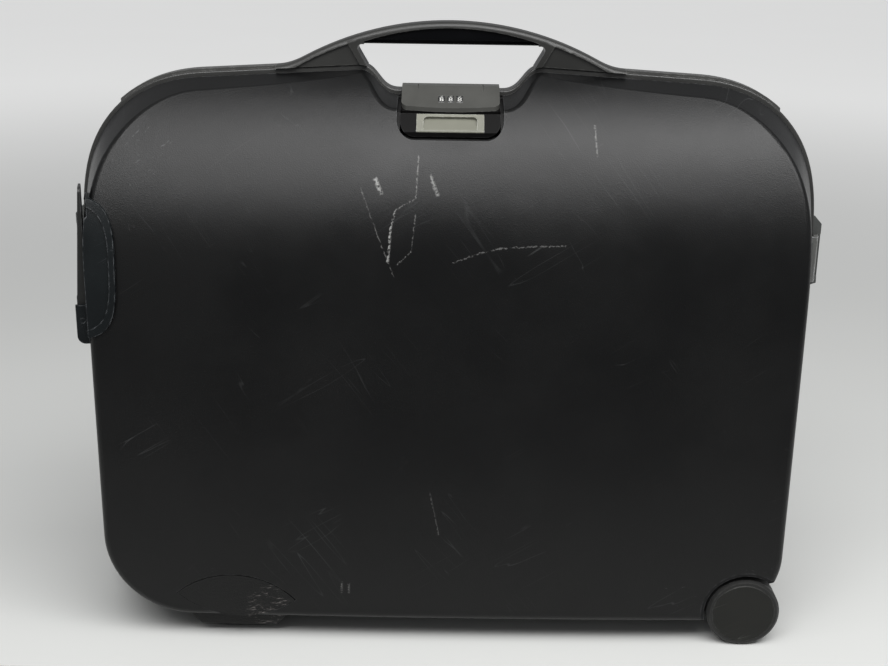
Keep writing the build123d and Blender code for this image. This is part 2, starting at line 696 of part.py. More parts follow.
def hinge(way, name):
    """A hinge under the case: a leaf on each half, the pin, and the leaves' rivets."""
    x = way * HINGE_X
    lid_top = CASE_BOTTOM + HINGE_RADIUS
    lid_low = HINGE_Z + HINGE_RADIUS - 0.5
    case_top = CASE_BOTTOM - RIM_PROUD
    case_low = case_top - LEAF_THICK
    with BuildPart() as lid_leaf:
        add(yz_block(HINGE_HALF, [(-LEAF_REACH, lid_low), (-LEAF_START, lid_low),
                                  (-LEAF_START, lid_top), (-LEAF_REACH, lid_top)], x))
        add(yz_block(KNUCKLE_HALF, [(-LEAF_START - HINGE_RADIUS, lid_low), (HINGE_Y, HINGE_Z),
                                    (HINGE_Y, HINGE_Z + HINGE_RADIUS - FREE),
                                    (-LID_EDGE - FREE, HINGE_Z + HINGE_RADIUS + FREE),
                                    (-LEAF_START - HINGE_RADIUS, lid_low + LEAF_THICK)], x,
                     (HINGE_Y, HINGE_Z), HINGE_RADIUS))
        add(FRONT_SOLID, mode=Mode.SUBTRACT)
        add(x_rod(HINGE_PIN_RADIUS + RUNNING, KNUCKLE_HALF + PAST, HINGE_Y, HINGE_Z, x),
            mode=Mode.SUBTRACT)
    save(f"lid_hinge_leaf_{name}", lid_leaf.part)

    with BuildPart() as case_leaf:
        add(yz_block(HINGE_HALF, [(BACK_EDGE + HINGE_RADIUS, case_low), (RIM_DEPTH, case_low),
                                  (RIM_DEPTH, case_top), (BACK_EDGE + HINGE_RADIUS, case_top)], x))
        add(yz_block(HINGE_HALF, [(HINGE_Y, HINGE_Z - HINGE_RADIUS + FREE),
                                  (BACK_EDGE + HINGE_RADIUS + 1, case_low),
                                  (BACK_EDGE + HINGE_RADIUS + 1, case_top),
                                  (HINGE_Y + HINGE_RADIUS / 2, case_top - FREE),
                                  (HINGE_Y, HINGE_Z + HINGE_RADIUS - FREE)], x,
                     (HINGE_Y, HINGE_Z), HINGE_RADIUS))
        with Locations((x, HINGE_Y - PAST, HINGE_Z)):
            Box(2 * (KNUCKLE_HALF + FREE), 4 * PAST, 4 * PAST, mode=Mode.SUBTRACT)
        add(x_rod(HINGE_PIN_RADIUS, HINGE_HALF + PAST, HINGE_Y, HINGE_Z, x),
            mode=Mode.SUBTRACT)
    save(f"case_hinge_leaf_{name}", case_leaf.part)
    save(f"hinge_pin_{name}", x_rod(HINGE_PIN_RADIUS, HINGE_HALF + 1, HINGE_Y, HINGE_Z, x))
    return lid_low, case_low


for WAY, NAME in ((-1, "left"), (1, "right")):
    LID_LEAF_LOW, CASE_LEAF_LOW = hinge(WAY, NAME)

for NAME, Y, TOP in (("lid_hinge_rivets", -(LEAF_REACH + LEAF_START) / 2, LID_LEAF_LOW),
                     ("case_hinge_rivets", (RIM_DEPTH + BACK_EDGE + HINGE_RADIUS) / 2,
                      CASE_LEAF_LOW)):
    with BuildPart() as rivets:
        with BuildSketch(Plane.XY.offset(TOP - RIVET_HEAD)):
            with Locations(*[(way * HINGE_X + step * 0.7 * HINGE_HALF, Y)
                             for way in (-1, 1) for step in (-1, 0, 1)]):
                Circle(RIVET_RADIUS)
        extrude(amount=RIVET_HEAD)
    save(NAME, rivets.part)

print("lining and straps")
LINING_OUT = {-1: case_half(-1, WALL + FREE, LINING_EDGE),
              1: case_half(1, WALL + FREE, LINING_EDGE)}
LINING_IN = {-1: case_half(-1, WALL + FREE + LINING_THICK, 0),
             1: case_half(1, WALL + FREE + LINING_THICK, 0)}

with BuildPart() as lock_room:
    with BuildSketch(Plane.XZ):
        with Locations((0, LOCK_LOW - 3 * LOCK_GAP)):
            Rectangle(2 * (LOCK_HALF + 3 * LOCK_GAP), CASE_TOP,
                      align=(Align.CENTER, Align.MIN))
    extrude(amount=CROWN_DEPTH)
    with BuildSketch(Plane.XZ):
        with Locations((0, LOCK_LOW)):
            Rectangle(2 * (STRIKE_HALF + 2), CASE_TOP, align=(Align.CENTER, Align.MIN))
    extrude(amount=-STRIKE_BACK - FREE)

for SIDE, NAME in ((-1, "front"), (1, "back")):
    WELL_GROWN = well_space(SIDE, WELL_WALL + AXLE_HEAD + FREE)
    with BuildPart() as lining:
        add(LINING_OUT[SIDE])
        add(LINING_IN[SIDE], mode=Mode.SUBTRACT)
        add(WELL_GROWN, mode=Mode.SUBTRACT)
        add(lock_room.part, mode=Mode.SUBTRACT)
    save(f"lining_{NAME}", lining.part)

with BuildPart() as packing_straps:
    add(case_half(1, WALL + 2 * FREE + LINING_THICK, 2 * LINING_EDGE))
    add(case_half(1, WALL + 2 * FREE + LINING_THICK + STRAP_THICK, 0), mode=Mode.SUBTRACT)
    with BuildSketch(Plane.XZ.offset(PAST)):
        with Locations((-STRAP_X, CASE_TOP / 2), (STRAP_X, CASE_TOP / 2)):
            Rectangle(STRAP_WIDTH, 2 * CASE_TOP)
    extrude(amount=-2 * CROWN_DEPTH, mode=Mode.INTERSECT)
save("packing_straps", packing_straps.part)

SAG = STRAP_X ** 2 / (2 * CROWN_SIDE_RADIUS)
BUCKLE_BACK = crown_depth(BUCKLE_Z) - SAG - WALL - 3 * FREE - LINING_THICK - STRAP_THICK - 0.5
with BuildPart() as strap_buckles:
    with Locations((-STRAP_X, BUCKLE_BACK, BUCKLE_Z), (STRAP_X, BUCKLE_BACK, BUCKLE_Z)):
        Box(2 * BUCKLE_HALF_WIDTH, BUCKLE_THICK, 2 * BUCKLE_HALF_HEIGHT,
            align=(Align.CENTER, Align.MAX, Align.CENTER))
    fillet(strap_buckles.faces().sort_by(Axis.Y)[:2].edges(), BUCKLE_ROUND)
save("strap_buckles", strap_buckles.part)

print("number lock")


def at_dip(point):
    """A place in the lock's own measure, as Y and Z."""
    return (point[0], DIP_TOP + point[1])


INCLINE = hypot(FRONT_TOP[0] - FRONT_LOW[0], FRONT_TOP[1] - FRONT_LOW[1])
DOWN = ((FRONT_LOW[0] - FRONT_TOP[0]) / INCLINE, (FRONT_LOW[1] - FRONT_TOP[1]) / INCLINE)
OUT = (DOWN[1], -DOWN[0])


def on_front(along, inward):
    """A place on the lock's sloping front: down along it, and in from it."""
    return at_dip((FRONT_TOP[0] + along * DOWN[0] - inward * OUT[0],
                   FRONT_TOP[1] + along * DOWN[1] - inward * OUT[1]))


LEVER_HINGE = on_front(INCLINE - LEVER_HINGE_RADIUS, LEVER_HINGE_RADIUS)
SLOPE = hypot(COVER_NOSE, COVER_KNEE_RISE + COVER_NOSE_DROP)
COVER_ALONG = (-COVER_NOSE / SLOPE, -(COVER_KNEE_RISE + COVER_NOSE_DROP) / SLOPE)
COVER_IN = (-COVER_ALONG[1], COVER_ALONG[0])


def on_cover(along, inward):
    """A place on the cover's slope: down along it from its knee, and in from it."""
    return at_dip((along * COVER_ALONG[0] + inward * COVER_IN[0],
                   COVER_KNEE_RISE + along * COVER_ALONG[1] + inward * COVER_IN[1]))


DIAL_CENTRE = on_cover(DIAL_BACK / -COVER_ALONG[0], DIAL_RADIUS - DIAL_PROUD)
UNDER_KNEE = (-LID_EDGE, on_cover((LID_EDGE + COVER_IN[0] * COVER_THICK) / -COVER_ALONG[0],
                                  COVER_THICK)[1])
UNDER_NOSE = on_cover(SLOPE, COVER_THICK)
UNDER_BACK = DIP_TOP + COVER_BACK_RISE - COVER_THICK - 1.1

with BuildPart() as cover_plan:
    with BuildSketch(Plane.XY.offset(LOCK_LOW)) as plan:
        with BuildLine():
            ThreePointArc((-COVER_HALF, -COVER_NOSE + COVER_BULGE), (0, -COVER_NOSE),
                          (COVER_HALF, -COVER_NOSE + COVER_BULGE))
            Polyline((COVER_HALF, -COVER_NOSE + COVER_BULGE), (COVER_HALF, COVER_BACK),
                     (-COVER_HALF, COVER_BACK), (-COVER_HALF, -COVER_NOSE + COVER_BULGE))
        make_face()
        fillet(plan.vertices().group_by(Axis.Y)[0], COVER_CORNER)
    extrude(amount=2 * LOCK_DEEP)

PANEL_GROOVE = [at_dip((PANEL_BACK, COVER_BACK_RISE + PAST)),
                at_dip((PANEL_BACK, COVER_BACK_RISE - 2 * PANEL_LINE)),
                on_cover(0, PANEL_LINE), on_cover(PANEL_FRONT, PANEL_LINE),
                (on_cover(PANEL_FRONT, PANEL_LINE)[0], DIP_TOP + COVER_BACK_RISE + PAST)]
with BuildPart() as lock_cover:
    add(yz_block(COVER_HALF, [at_dip((COVER_BACK, COVER_BACK_RISE)), at_dip((0, COVER_KNEE_RISE)),
                              on_cover(SLOPE + PAST, 0), on_cover(SLOPE + PAST, COVER_THICK),
                              UNDER_KNEE, (-LID_EDGE, UNDER_BACK), (COVER_BACK, UNDER_BACK)]))
    add(cover_plan.part, mode=Mode.INTERSECT)
    for WAY in (-1, 1):
        add(yz_block(PANEL_LINE / 2, PANEL_GROOVE, WAY * PANEL_HALF), mode=Mode.SUBTRACT)
    with Locations((0, PANEL_BACK, DIP_TOP + COVER_BACK_RISE)):
        Box(2 * PANEL_HALF + PANEL_LINE, PANEL_LINE, 2 * PANEL_LINE + 0.4, mode=Mode.SUBTRACT)
    for STEP in (-1, 0, 1):
        add(x_rod(DIAL_RADIUS + FREE, DIAL_WIDTH / 2 + FREE, *DIAL_CENTRE, STEP * DIAL_PITCH),
            mode=Mode.SUBTRACT)
save("lock_cover", lock_cover.part)

LEVER_POCKET = [on_front(-PAST, -PAST), on_front(INCLINE, -PAST),
                on_front(INCLINE, LEVER_HINGE_RADIUS),
                on_front(INCLINE - LEVER_HINGE_RADIUS, LEVER_THICK + FREE),
                on_front(-PAST, LEVER_THICK + FREE)]
HOOK_Z = DIP_TOP + HOOK_PIN[1]
HOOK_UP = HOOK_Z + HOOK_THICK / 2
HOOK_DOWN = HOOK_Z - HOOK_THICK / 2
STRIKE_LOW = HOOK_UP + HOOK_NOSE + FREE
HOOK_FLOOR = HOOK_DOWN - 2 * HOOK_THICK
HOOK_ROOM = [(HOOK_PIN[0] - HOOK_THICK, HOOK_FLOOR), (0, HOOK_FLOOR),
             (0, STRIKE_LOW + STRIKE_THICK + FREE),
             (HOOK_PIN[0] - HOOK_THICK, STRIKE_LOW + STRIKE_THICK + FREE)]

with BuildPart() as lock_housing:
    add(yz_block(LOCK_HALF, [(-LOCK_BACK, LOCK_LOW), (-LOCK_BACK, UNDER_KNEE[1] - 0.2),
                             UNDER_NOSE, (UNDER_NOSE[0], on_front(0, 0)[1] - LEDGE_DROP), on_front(0, 0),
                             on_front(INCLINE, 0), (on_front(INCLINE, 0)[0], LOCK_LOW)]))
    add(lock_outline(0, LOCK_LOW), mode=Mode.INTERSECT)
    add(yz_block(STRIKE_HALF + 2 * FREE + WALL,
                 [(HOOK_PIN[0] - HOOK_THICK - WALL, HOOK_FLOOR - WALL),
                  (-LOCK_BACK, HOOK_FLOOR - WALL), (-LOCK_BACK, LOCK_LOW + WALL),
                  (HOOK_PIN[0] - HOOK_THICK - WALL, LOCK_LOW + WALL)]))
    add(yz_block(LEVER_HALF + FREE, LEVER_POCKET, 0.0, LEVER_HINGE,
                 LEVER_HINGE_RADIUS + FREE), mode=Mode.SUBTRACT)
    add(x_rod(LEVER_PIN_RADIUS, LEVER_PIN_HALF, *LEVER_HINGE), mode=Mode.SUBTRACT)
    add(x_rod(DIAL_RADIUS + FREE, DIAL_ROOM_HALF, *DIAL_CENTRE), mode=Mode.SUBTRACT)
    add(x_rod(DIAL_AXLE_RADIUS, DIAL_ROOM_HALF + WALL, *DIAL_CENTRE), mode=Mode.SUBTRACT)
    add(yz_block(STRIKE_HALF + 2 * FREE, HOOK_ROOM), mode=Mode.SUBTRACT)
    add(x_rod(HOOK_PIN_RADIUS, STRIKE_HALF + WALL, HOOK_PIN[0], HOOK_Z), mode=Mode.SUBTRACT)
save("lock_housing", lock_housing.part)

with BuildPart() as lock_flange:
    add(lock_outline(LOCK_GAP + WALL, LOCK_LOW - LOCK_GAP - WALL))
    add(FRONT_HOLLOW, mode=Mode.INTERSECT)
    add(LINING_IN[-1], mode=Mode.SUBTRACT)
    add(yz_block(LOCK_HALF, [(-CROWN_DEPTH, LOCK_LOW), (0, LOCK_LOW), (0, CASE_TOP),
                             (-CROWN_DEPTH, CASE_TOP)]), mode=Mode.SUBTRACT)
    with BuildSketch(Plane.XZ):
        Rectangle(4 * CASE_HALF_WIDTH, 4 * CASE_TOP)
    extrude(amount=LOCK_BACK, mode=Mode.SUBTRACT)
save("lock_flange", lock_flange.part)

with BuildPart() as scoop:
    with BuildSketch(Plane(origin=(0, *on_front(SCOOP_END, SCOOP_DEPTH)), x_dir=(1, 0, 0),
                           z_dir=(0, *OUT))) as scoop_face:
        Rectangle(2 * SCOOP_HALF, SCOOP_END - SCOOP_START, align=(Align.CENTER, Align.MIN))
        fillet(scoop_face.vertices().group_by(Axis.Y)[-1], SCOOP_ROUND)
    extrude(amount=SCOOP_DEPTH + PAST)
    add(yz_block(SCOOP_HALF, [on_front(SCOOP_START, -PAST), on_front(SCOOP_START, SCOOP_DEPTH),
                              on_front(SCOOP_END, 0), on_front(SCOOP_END, -PAST)]),
        mode=Mode.INTERSECT)

with BuildPart() as lock_lever:
    add(yz_block(LEVER_HALF, [on_front(FREE, 0), on_front(INCLINE - LEVER_HINGE_RADIUS, 0),
                              on_front(INCLINE - LEVER_HINGE_RADIUS, LEVER_THICK),
                              on_front(FREE, LEVER_THICK)], 0.0, LEVER_HINGE, LEVER_HINGE_RADIUS))
    add(scoop.part, mode=Mode.SUBTRACT)
    add(x_rod(LEVER_PIN_RADIUS + RUNNING, LEVER_PIN_HALF, *LEVER_HINGE), mode=Mode.SUBTRACT)
save("lock_lever", lock_lever.part)
save("lock_lever_pin", x_rod(LEVER_PIN_RADIUS, LEVER_PIN_HALF, *LEVER_HINGE))

for STEP, NAME in ((-1, "left"), (0, "middle"), (1, "right")):
    X = STEP * DIAL_PITCH
    with BuildPart() as dial:
        add(x_rod(DIAL_RADIUS, DIAL_WIDTH / 2, *DIAL_CENTRE, X))
        add(x_rod(DIAL_AXLE_RADIUS + RUNNING, DIAL_WIDTH, *DIAL_CENTRE, X), mode=Mode.SUBTRACT)
        with BuildSketch(Plane(origin=(X, *DIAL_CENTRE), x_dir=(0, 1, 0), z_dir=(1, 0, 0))):
            with PolarLocations(DIAL_RADIUS + DIAL_NOTCH / 3, DIAL_NOTCHES):
                Circle(DIAL_NOTCH)
        extrude(amount=DIAL_WIDTH, both=True, mode=Mode.SUBTRACT)
    save(f"number_dial_{NAME}", dial.part)
save("dial_axle", x_rod(DIAL_AXLE_RADIUS, DIAL_ROOM_HALF + WALL, *DIAL_CENTRE))

with BuildPart() as lock_hook:
    add(yz_block(HOOK_HALF, [(HOOK_PIN[0], HOOK_DOWN), (HOOK_TIP, HOOK_DOWN),
                             (HOOK_TIP, HOOK_UP + HOOK_NOSE),
                             (HOOK_TIP - HOOK_NOSE_LENGTH, HOOK_UP + HOOK_NOSE),
                             (HOOK_TIP - HOOK_NOSE_LENGTH, HOOK_UP), (HOOK_PIN[0], HOOK_UP)],
                 0.0, (HOOK_PIN[0], HOOK_Z), HOOK_THICK * 0.8))
    add(x_rod(HOOK_PIN_RADIUS + RUNNING, 2 * HOOK_HALF, HOOK_PIN[0], HOOK_Z), mode=Mode.SUBTRACT)
save("lock_hook", lock_hook.part)
save("hook_pin", x_rod(HOOK_PIN_RADIUS, STRIKE_HALF + WALL, HOOK_PIN[0], HOOK_Z))

with BuildPart() as hook_spring:
    with Locations((0, HOOK_PIN[0] / 2, HOOK_FLOOR)):
        Box(HOOK_HALF, -HOOK_PIN[0] / 2, SPRING_THICK, align=(Align.CENTER, Align.CENTER, Align.MIN))
save("hook_spring", hook_spring.part)

with BuildPart() as lock_strike:
    with BuildSketch(Plane.YZ):
        with BuildLine():
            Polyline((STRIKE_BACK - STRIKE_THICK, STRIKE_LOW + STRIKE_THICK),
                     (STRIKE_BACK - STRIKE_THICK, CASE_TOP), (STRIKE_BACK, CASE_TOP),
                     (STRIKE_BACK, STRIKE_LOW), (BACK_EDGE, STRIKE_LOW),
                     (BACK_EDGE, STRIKE_LOW + STRIKE_THICK), close=True)
        make_face()
    extrude(amount=STRIKE_HALF, both=True)
    add(BACK_HOLLOW, mode=Mode.INTERSECT)
    add(yz_block(STRIKE_HALF, [(STRIKE_TIP, STRIKE_LOW), (BACK_EDGE, STRIKE_LOW),
                               (BACK_EDGE, STRIKE_LOW + STRIKE_THICK),
                               (STRIKE_TIP, STRIKE_LOW + STRIKE_THICK)]))
    with Locations((0, HOOK_TIP - HOOK_NOSE_LENGTH / 2, STRIKE_LOW)):
        Box(STRIKE_HALF, HOOK_NOSE_LENGTH + 2, 3 * STRIKE_THICK, mode=Mode.SUBTRACT)
save("lock_strike", lock_strike.part)

print("side latches")
RIM_SIDE = CASE_HALF_WIDTH + RIM_PROUD
LATCH_TOP = LATCH_LOW + LATCH_HEIGHT
LEVER_LOW = LATCH_LOW + LATCH_BOTTOM_WALL + LATCH_GAP
LEVER_HIGH = LATCH_TOP - LATCH_TOP_WALL - LATCH_GAP
LEVER_X = RIM_SIDE + LATCH_GAP + LATCH_LEVER_THICK / 2
LEVER_Y = LATCH_BACK - LATCH_BACK_WALL - LATCH_GAP - LATCH_LEVER_THICK / 2


def z_rod(radius, low, high, x, y):
    """A rod along Z between two heights."""
    with BuildPart() as rod:
        with BuildSketch(Plane.XY.offset(low)):
            with Locations((x, y)):
                Circle(radius)
        extrude(amount=high - low)
    return rod.part


def side_latch(way, name):
    """A latch at one side: base on the rim, lever with its pin, and the strike on the lid."""
    pin = (way * LEVER_X, LEVER_Y)
    window = (LEVER_LOW - LATCH_GAP, LEVER_HIGH + LATCH_GAP)
    pin_ends = (LEVER_LOW - LATCH_PIN_GRIP, LEVER_HIGH + LATCH_PIN_GRIP)
    outer = RIM_SIDE + LATCH_PROUD + LATCH_FLARE
    with BuildPart() as base:
        with BuildSketch(Plane.XY.offset(LATCH_LOW)):
            with BuildLine():
                Polyline([(way * x, y) for x, y in (
                    (CASE_HALF_WIDTH, LATCH_NEAR), (RIM_SIDE + LATCH_PROUD, LATCH_NEAR),
                    (outer, LATCH_BACK), (CASE_HALF_WIDTH, LATCH_BACK))], close=True)
            make_face()
        extrude(amount=LATCH_HEIGHT)
        with BuildSketch(Plane.XZ):
            with BuildLine():
                Polyline([(way * x, z) for x, z in (
                    (CASE_HALF_WIDTH, LATCH_LOW), (RIM_SIDE, LATCH_LOW),
                    (outer, LATCH_LOW + LATCH_BEVEL_LOW), (outer, LATCH_TOP - LATCH_BEVEL_HIGH),
                    (RIM_SIDE + LATCH_TOP_PROUD, LATCH_TOP), (CASE_HALF_WIDTH, LATCH_TOP))],
                    close=True)
            make_face()
        extrude(amount=2 * LATCH_BACK, both=True, mode=Mode.INTERSECT)
        with Locations((way * RIM_SIDE, LATCH_BACK - LATCH_BACK_WALL, window[0])):
            Box(4 * (LATCH_PROUD + LATCH_FLARE), 2 * LATCH_BACK, window[1] - window[0],
                align=(Align.CENTER, Align.MAX, Align.MIN), mode=Mode.SUBTRACT)
        add(z_rod(LATCH_PIN_RADIUS, *pin_ends, *pin), mode=Mode.SUBTRACT)
        add(rim_block.part, mode=Mode.SUBTRACT)
    save(f"latch_base_{name}", base.part)
    save(f"latch_pin_{name}", z_rod(LATCH_PIN_RADIUS, *pin_ends, *pin))

    near, far = LEVER_X - LATCH_LEVER_THICK / 2, LEVER_X + LATCH_LEVER_THICK / 2
    tip, claw = LATCH_LEVER_TIP, LATCH_CLAW
    with BuildPart() as lever:
        with BuildSketch(Plane.XY.offset(LEVER_LOW)):
            with BuildLine():
                Polyline([(way * x, y) for x, y in (
                    (near, LEVER_Y), (near, 0), (near - LATCH_CLAW_IN, tip + claw),
                    (near - LATCH_CLAW_IN, tip), (far - LATCH_CLAW_IN, tip),
                    (far - LATCH_CLAW_IN / 3, tip + 1.5 * claw), (far, -tip), (far, LEVER_Y))],
                    close=True)
            make_face()
            with Locations(pin):
                Circle(LATCH_LEVER_THICK / 2)
        extrude(amount=LEVER_HIGH - LEVER_LOW)
        add(z_rod(LATCH_PIN_RADIUS + RUNNING, LATCH_LOW, LATCH_TOP, *pin), mode=Mode.SUBTRACT)
    save(f"latch_lever_{name}", lever.part)

    strike_face = LEVER_X - LATCH_LEVER_THICK / 2 - LATCH_CLAW_IN - FREE
    with BuildPart() as strike:
        with Locations((way * (strike_face - LATCH_STRIKE_FAR),
                        -(LATCH_STRIKE_NEAR + LATCH_STRIKE_FAR) / 2,
                        (LEVER_LOW + LEVER_HIGH) / 2)):
            Box(2 * LATCH_STRIKE_FAR, LATCH_STRIKE_FAR - LATCH_STRIKE_NEAR,
                LEVER_HIGH - LEVER_LOW - 2 * LATCH_STRIKE_CLEAR)
        add(FRONT_SOLID, mode=Mode.SUBTRACT)
        with Locations((0, 0, LATCH_LOW)):
            Box(2 * (CASE_HALF_WIDTH - WALL - LATCH_STRIKE_CLEAR), 2 * CROWN_DEPTH, 2 * CASE_TOP,
                mode=Mode.SUBTRACT)
    save(f"latch_strike_{name}", strike.part)


for WAY, NAME in ((-1, "left"), (1, "right")):
    side_latch(WAY, NAME)

print("pull handle")
SIDE_LEAN = degrees(atan2(SIDE_DRAFT, FACE_REACH))
PULL_SIDE = -drafted(CASE_HALF_WIDTH, -SIDE_DRAFT, PULL_DEPTH)
PULL_NORMAL = (-cos(radians(SIDE_LEAN)), -sin(radians(SIDE_LEAN)), 0)
PULL_TANGENT = (sin(radians(SIDE_LEAN)), -cos(radians(SIDE_LEAN)), 0)
PULL_PIVOT_Z = PULL_LOW + PULL_PIVOT_RISE
PULL_PIVOT_OUT = PULL_END_RADIUS + FREE
PULL_LENGTH = PULL_TOP - PULL_PIVOT_Z
PULL_SPIN = Plane(origin=(PULL_SIDE + PULL_NORMAL[0] * PULL_PIVOT_OUT,
                          -PULL_DEPTH + PULL_NORMAL[1] * PULL_PIVOT_OUT, PULL_PIVOT_Z),
                  x_dir=(0, 0, 1), z_dir=PULL_TANGENT)


def pull_rod(radius, half):
    """A rod along the pull handle's pivot."""
    with BuildPart() as rod:
        with BuildSketch(PULL_SPIN):
            Circle(radius)
        extrude(amount=half, both=True)
    return rod.part


def pull_bar(grow):
    """The pull arm: round about its pivot and drawn out to a thin tip along the case."""
    radius = PULL_END_RADIUS + grow
    tip = (PULL_LENGTH + grow, PULL_TIP - PULL_END_RADIUS + grow)
    turn = atan2(tip[1], tip[0]) + acos(radius / hypot(*tip))
    rim = (radius * cos(turn), radius * sin(turn))
    with BuildPart() as bar:
        with BuildSketch(PULL_SPIN):
            with BuildLine():
                ThreePointArc((0, -radius), (-radius, 0), rim)
                Polyline(rim, tip, (tip[0], -radius), (0, -radius))
            make_face()
        extrude(amount=PULL_WIDTH / 2 + grow, both=True)
    return bar.part


def pull_plan(inset):
    """The base's outline on the face of the lid, drawn through it."""
    outer = PULL_SIDE - 2 * PULL_END_RADIUS
    middle = (PULL_LOW + PULL_HIGH) / 2
    low, high, right = PULL_LOW + inset, PULL_HIGH - inset, PULL_RIGHT - inset
    with BuildPart() as plan:
        with BuildSketch(Plane.XZ.offset(PULL_DEPTH - PULL_WIDTH / 2 - PULL_CHEEK)):
            with BuildLine():
                Spline((outer, low), (right - PULL_BEND_IN, low + PULL_BEND_UP), (right, middle),
                       (right - PULL_BEND_IN, high - PULL_BEND_UP), (outer, high))
                Line((outer, high), (outer, low))
            make_face()
        extrude(amount=CROWN_DEPTH)
    return plan.part


def pull_cheeks(low, high, half):
    """The block that carries the pivot, between two heights, out to the cheeks' face."""
    outer = PULL_END_RADIUS + CHEEK_PROUD
    with BuildPart() as cheeks:
        with BuildSketch(PULL_SPIN) as profile:
            with BuildLine():
                Polyline((low, -PULL_PIVOT_OUT - PULL_CHEEK), (low, outer), (high, outer),
                         (high, -PULL_PIVOT_OUT - PULL_CHEEK), close=True)
            make_face()
            fillet(profile.vertices().group_by(Axis.Z)[0].sort_by(Axis.X)[0], CHEEK_ROUND)
            if high > 0:
                fillet(profile.vertices().group_by(Axis.Z)[-1].sort_by(Axis.X)[0],
                       CHEEK_TOP_ROUND)
        extrude(amount=half, both=True)
    return cheeks.part


CHEEK_HALF = PULL_WIDTH / 2 + FREE + PULL_CHEEK
PROUD_SOLID = case_half(-1, -PULL_PROUD, LID_EDGE)
TRAY_FLOOR = case_half(-1, PULL_TRAY - PULL_PROUD, LID_EDGE)
PULL_TRAY_CUT = pull_plan(PULL_RIM) - TRAY_FLOOR
with BuildPart() as pull_base:
    add(pull_plan(0))
    add(PROUD_SOLID, mode=Mode.INTERSECT)
    add(PULL_TRAY_CUT, mode=Mode.SUBTRACT)
    with BuildSketch(PULL_SPIN) as outside:
        with Locations((0, PULL_SIDE_PROUD - PULL_PIVOT_OUT)):
            Rectangle(4 * PULL_LENGTH, CROWN_DEPTH, align=(Align.CENTER, Align.MIN))
    extrude(amount=CASE_TOP, both=True, mode=Mode.SUBTRACT)
    add(pull_cheeks(-CHEEK_DOWN, CHEEK_UP, CHEEK_HALF))
    add(FRONT_SOLID, mode=Mode.SUBTRACT)
    with BuildSketch(PULL_SPIN) as arm_room:
        with Locations((-PULL_END_RADIUS - 5 * FREE, 0)):
            Rectangle(2 * PULL_LENGTH, 2 * PULL_PIVOT_OUT + 2 * PULL_CHEEK,
                      align=(Align.MIN, Align.CENTER))
    extrude(amount=PULL_WIDTH / 2 + FREE, both=True, mode=Mode.SUBTRACT)
    add(pull_rod(PULL_PIN_RADIUS, CHEEK_HALF), mode=Mode.SUBTRACT)
save("pull_base", pull_base.part)

with BuildPart() as pull_arm:
    add(pull_bar(0))
    fillet(pull_arm.faces().sort_by(Axis.Z)[-1].edges().filter_by(lambda e: e.length < 2 * PULL_TIP),
           PULL_TIP_ROUND)
    add(pull_rod(PULL_PIN_RADIUS + RUNNING, PULL_WIDTH), mode=Mode.SUBTRACT)
save("pull_arm", pull_arm.part)
save("pull_pin", pull_rod(PULL_PIN_RADIUS, CHEEK_HALF))
print("pull pivot", PULL_SPIN.origin, "axis", PULL_SPIN.z_dir)
print("hinge", HINGE_Y, HINGE_Z, "lever", LEVER_HINGE, "hook", (HOOK_PIN[0], HOOK_Z))
print("dial", DIAL_CENTRE, "latch pin", LEVER_X, LEVER_Y)
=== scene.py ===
# %% [markdown]
# # A hard-shell suitcase, finished in Blender
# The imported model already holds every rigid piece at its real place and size: two moulded halves,
# a rim, a carry handle, a number lock, side latches, a pull handle, wheels and feet.
# Here they get their finish: a pebbled charcoal moulding with years of scratches, satin black
# trim, a pale lock button, rubber, steel, and a cloth lining made as real sheets.
# Everything is in metres, in the model's own frame: X along the case, the lid faces -Y, Z up.

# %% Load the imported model
import json
import math

import bpy
from mathutils import Matrix, Vector, noise
from mathutils.bvhtree import BVHTree


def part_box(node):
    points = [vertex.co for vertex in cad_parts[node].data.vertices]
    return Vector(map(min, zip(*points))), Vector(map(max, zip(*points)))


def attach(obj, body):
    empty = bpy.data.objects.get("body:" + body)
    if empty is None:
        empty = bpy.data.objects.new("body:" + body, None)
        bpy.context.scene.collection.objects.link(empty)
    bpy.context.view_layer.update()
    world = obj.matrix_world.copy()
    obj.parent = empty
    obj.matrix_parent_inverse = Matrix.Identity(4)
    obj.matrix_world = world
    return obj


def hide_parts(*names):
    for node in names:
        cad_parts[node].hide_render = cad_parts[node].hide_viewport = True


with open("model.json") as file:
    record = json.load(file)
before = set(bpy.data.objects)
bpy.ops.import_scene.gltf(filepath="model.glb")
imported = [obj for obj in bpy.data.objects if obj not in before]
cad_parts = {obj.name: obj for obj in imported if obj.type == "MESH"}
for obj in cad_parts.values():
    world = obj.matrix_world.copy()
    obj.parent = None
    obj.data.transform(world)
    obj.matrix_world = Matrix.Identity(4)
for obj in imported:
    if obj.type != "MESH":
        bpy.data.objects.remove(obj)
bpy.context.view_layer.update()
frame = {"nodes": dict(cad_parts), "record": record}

pieces = frame["nodes"]
print("pieces in the model:", len(pieces))

# %% [markdown]
# ## The camera
# The picture was taken from just above the case's top, looking down 18 degrees, a little more
# than a metre away. The lens and the place were worked out from the wheel, which has to look
# round, and from the floor, which has to pass under the feet. The camera is rolled by under one
# degree, as hand-held pictures are, so the matrix is put together from plain turns.

# %% Camera
CAMERA_PLACE = (-0.003, -1.288, 0.7187)
FILM_WIDTH, LENS = 36.0, 54.04  # millimetres
LOOKING_DOWN, ROLL = 18.0, 0.85  # degrees

